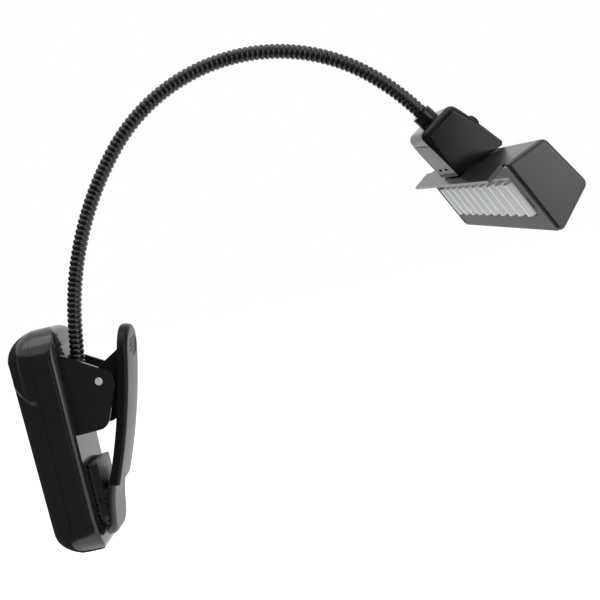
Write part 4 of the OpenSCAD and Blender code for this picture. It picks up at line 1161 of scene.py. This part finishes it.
class LAMP_OT_lever(bpy.types.Operator):
    """Build the lever with its finger mark, its hinge lugs and its toe"""

    bl_idname = "lamp.lever"
    bl_label = "Lever"

    def execute(self, context):
        settle(self.bar(), "lever_arm", "casing", "lever")
        outline = rounded_outline(FLANGE_CORNERS)
        for name, low in (("near_lug", -FLANGE_OUT), ("far_lug", FLANGE_OUT - FLANGE_THICKNESS)):
            lug = rounded_plate(name, outline, lever_frame(), low, low + FLANGE_THICKNESS, 0.4, "lever")
            settle(lug, "lever_arm", "casing")
        settle(self.toe(), "lever_arm", "dark_moulding", "lever_toe")
        for name, low in (("near_toe_lug", -11.0), ("far_toe_lug", 9.1)):
            lug = rounded_plate(name, rounded_outline(TOE_LUG_CORNERS), Matrix.Translation(FOOT_PIN), low, low + 1.9,
                                0.3, "satin")
            settle(lug, "lever_arm", "dark_moulding")
        return {"FINISHED"}

    def bar(self):
        """The curved bar: a crowned outer face with rolled edges, a finger mark and three grip ridges."""
        s = sizes()
        place = lever_frame()
        edge = s.lever_edge / MM

        def seat(y, z):
            half = lever_half_width(z)
            inside = half - abs(y)
            if z > LEVER_TOP - DOME_R:
                inside = min(
                    inside, DOME_R - math.hypot(max(abs(y) - DOME_FLAT, 0), z - LEVER_TOP + DOME_R))
            inside = max(inside, 0)
            outer = 2.2 - rolled(inside, edge) + 0.25 * (1 - (y / 12.4) ** 2)
            across, along = (y - MARK_Y) / (s.mark_width / MM / 2), (z - MARK_Z) / (s.mark_height / MM / 2)
            apart = across * across + along * along
            if apart < 1:
                outer -= s.mark_depth / MM * (1 - apart) ** 0.5
                for row in RIDGE_ROWS:
                    off = (z - MARK_Z - row - 0.22 * (y - MARK_Y)) / 0.55
                    if abs(off) < 1 and abs(y - MARK_Y) < RIDGE_REACH:
                        outer += 0.5 * (1 - off * off) * (1 - (abs(y - MARK_Y) / RIDGE_REACH) ** 4)
            return outer, -2.2 + rolled(inside, 0.8)

        def point(y, z, out):
            tilt = math.asin(z / LEVER_R)
            reach = LEVER_R + out
            return place @ (Vector((LEVER_SHIFT - LEVER_R + reach * math.cos(tilt), y, reach * math.sin(tilt))) * MM)

        heights = spaced(-TOE_START, 4, 26) + spaced(4, 12.4, 32)[1:] + spaced(12.4, 20, 26)[1:]
        heights += [LEVER_TOP - 4.4 * math.cos(k * math.pi / 28) for k in range(1, 15)]
        rows = []
        for z in heights:
            half = dome_half_width(z)
            line = []
            for k in range(65):
                y = half * math.sin(math.pi / 2 * (k / 32 - 1))
                lift = 0.08 * y * max(0.0, min(1.0, (-20 - z) / 24))
                outer, inner = seat(y, z)
                line.append((point(y, z + lift, outer), point(y, z + lift, inner)))
            rows.append(line)
        return two_faced("squeeze_lever", rows, "lever", 50)

    def toe(self):
        """The toe: a rounded end piece below the lever's slanted seam."""
        edge = 2.3
        half_w, low_end, corner = 11.75, FOOT_PIN.z / MM - 17.1, 7.2
        rows = []
        top = 15.75
        heights = spaced(top, low_end + corner, 22)
        heights += [low_end + corner * (1 - math.sin(k * math.pi / 36)) for k in range(1, 19)]
        for z in heights:
            half = half_w
            if z < low_end + corner:
                half = half_w - corner + math.sqrt(max(corner ** 2 - (low_end + corner - z) ** 2, 0))
            line = []
            for k in range(49):
                y = half * math.sin(math.pi / 2 * (k / 24 - 1))
                inside = half_w - abs(y)
                if z < low_end + corner:
                    inside = min(inside, corner - math.hypot(max(abs(y) - half_w + corner, 0), low_end + corner - z))
                inside = max(inside, 0)
                lift = 0.08 * y * max(0.0, min(1.0, (z - 8) / 7))
                outer = profile_at(TOE_OUTER, z) - rolled(inside, edge)
                inner = min(profile_at(TOE_INNER, z) + rolled(inside, 0.8), outer - 0.2)
                line.append((Vector((outer, y, z + lift)) * MM, Vector((inner, y, z + lift)) * MM))
            rows.append(line)
        return two_faced("lever_toe_cover", rows, "satin", 50)


class LAMP_OT_jaw(bpy.types.Operator):
    """Build the swivelling jaw foot, its rubber pad and the pins"""

    bl_idname = "lamp.jaw"
    bl_label = "Jaw Foot"

    def execute(self, context):
        edge = sizes().small_edge
        dressed("jaw_foot", "jaw_foot_plate", "satin", edge, "foot", "dark_moulding")
        dressed("jaw_foot_pad", "jaw_rubber_pad", "rubber", edge, "foot", "pad_rubber")
        dressed("pivot_pin", "hinge_pin", "steel", edge * 0.8, "clip", "bright_steel")
        dressed("jaw_foot_pin", "foot_pin", "black_pin", edge * 0.6, "lever_arm", "bright_steel")
        return {"FINISHED"}


class LAMP_OT_head(bpy.types.Operator):
    """Build the head's collar, housing, base and button"""

    bl_idname = "lamp.head"
    bl_label = "Head Housing"

    def execute(self, context):
        edge = sizes().small_edge
        dressed("neck_housing", "head_housing", "housing", edge, "head", "casing",
                rims=(HEAD, HOUSING_HALF_W, HOUSING_RIM, 8, 0.0, HOUSING_TOP))
        dressed("housing_base", "head_base", "satin", edge, "head", "dark_moulding")
        dressed("collar", "neck_collar", "collar", edge * 2, "head", "collar_moulding")
        dressed("switch_button", "push_button", "rubber", edge * 2, "button", "button_rubber")
        return {"FINISHED"}


class LAMP_OT_shade(bpy.types.Operator):
    """Build the shade, its window plate and the ribbed lens"""

    bl_idname = "lamp.shade"
    bl_label = "Shade and Lens"

    def execute(self, context):
        s = sizes()
        dressed("shade_shell", "shade", "shade", s.small_edge, "head", "casing",
                rims=(HEAD, SHADE_HALF_L, s.shade_edge))
        dressed("lens_frame", "window_plate", "window", s.small_edge * 0.5, "head", "dark_moulding")
        dressed("ribbed_lens", "lens", "lens", s.small_edge * 2, "head", "clear_lens")
        return {"FINISHED"}


class LAMP_OT_inner_parts(bpy.types.Operator):
    """Give the parts inside the clip and the head their finishes"""

    bl_idname = "lamp.inner_parts"
    bl_label = "Inner Parts"

    def execute(self, context):
        finish_nodes("cell", "battery_cells")
        finish_nodes("plated", "contact_springs", "contact_plates", "cover_screws", "neck_sleeve", "board_screws",
                     "housing_screws")
        finish_nodes("steel", "torsion_spring", "spring_lever_leg")
        finish_nodes("lead", "body_leads", "root_leads", "lower_leads", "middle_leads", "upper_leads", "crest_leads",
                     "front_leads", "end_leads")
        finish_nodes("satin", "switch_module")
        finish_nodes("board", "led_board")
        finish_nodes("chip", "leds")
        finish_nodes("resistor", "resistors")
        return {"FINISHED"}


OPERATORS = [
    LAMP_OT_camera,
    LAMP_OT_stage,
    LAMP_OT_gooseneck,
    LAMP_OT_casing,
    LAMP_OT_lever,
    LAMP_OT_jaw,
    LAMP_OT_head,
    LAMP_OT_shade,
    LAMP_OT_inner_parts,
]


class LAMP_PT_panel(bpy.types.Panel):
    """The lamp's sizes, colours and build steps"""

    bl_idname = "LAMP_PT_panel"
    bl_label = "Reading Lamp"
    bl_space_type = "VIEW_3D"
    bl_region_type = "UI"
    bl_category = "Reading Lamp"

    def draw(self, context):
        for group in (context.scene.lamp_sizes, context.scene.lamp_colours):
            box = self.layout.box()
            for name in group.__annotations__:
                box.prop(group, name)
        for operator in OPERATORS:
            self.layout.operator(operator.bl_idname)


CLASSES = [LampSizes, LampColours, *OPERATORS, LAMP_PT_panel]


def register():
    """Registers the classes and the scene's settings."""
    for item in CLASSES:
        bpy.utils.register_class(item)
    bpy.types.Scene.lamp_sizes = bpy.props.PointerProperty(type=LampSizes)
    bpy.types.Scene.lamp_colours = bpy.props.PointerProperty(type=LampColours)


def unregister():
    """Removes them again."""
    del bpy.types.Scene.lamp_colours
    del bpy.types.Scene.lamp_sizes
    for item in reversed(CLASSES):
        bpy.utils.unregister_class(item)


def main():
    """Builds the whole lamp."""
    register()
    for operator in OPERATORS:
        module, name = operator.bl_idname.split(".")
        getattr(getattr(bpy.ops, module), name)()


if __name__ == "__main__":
    main()
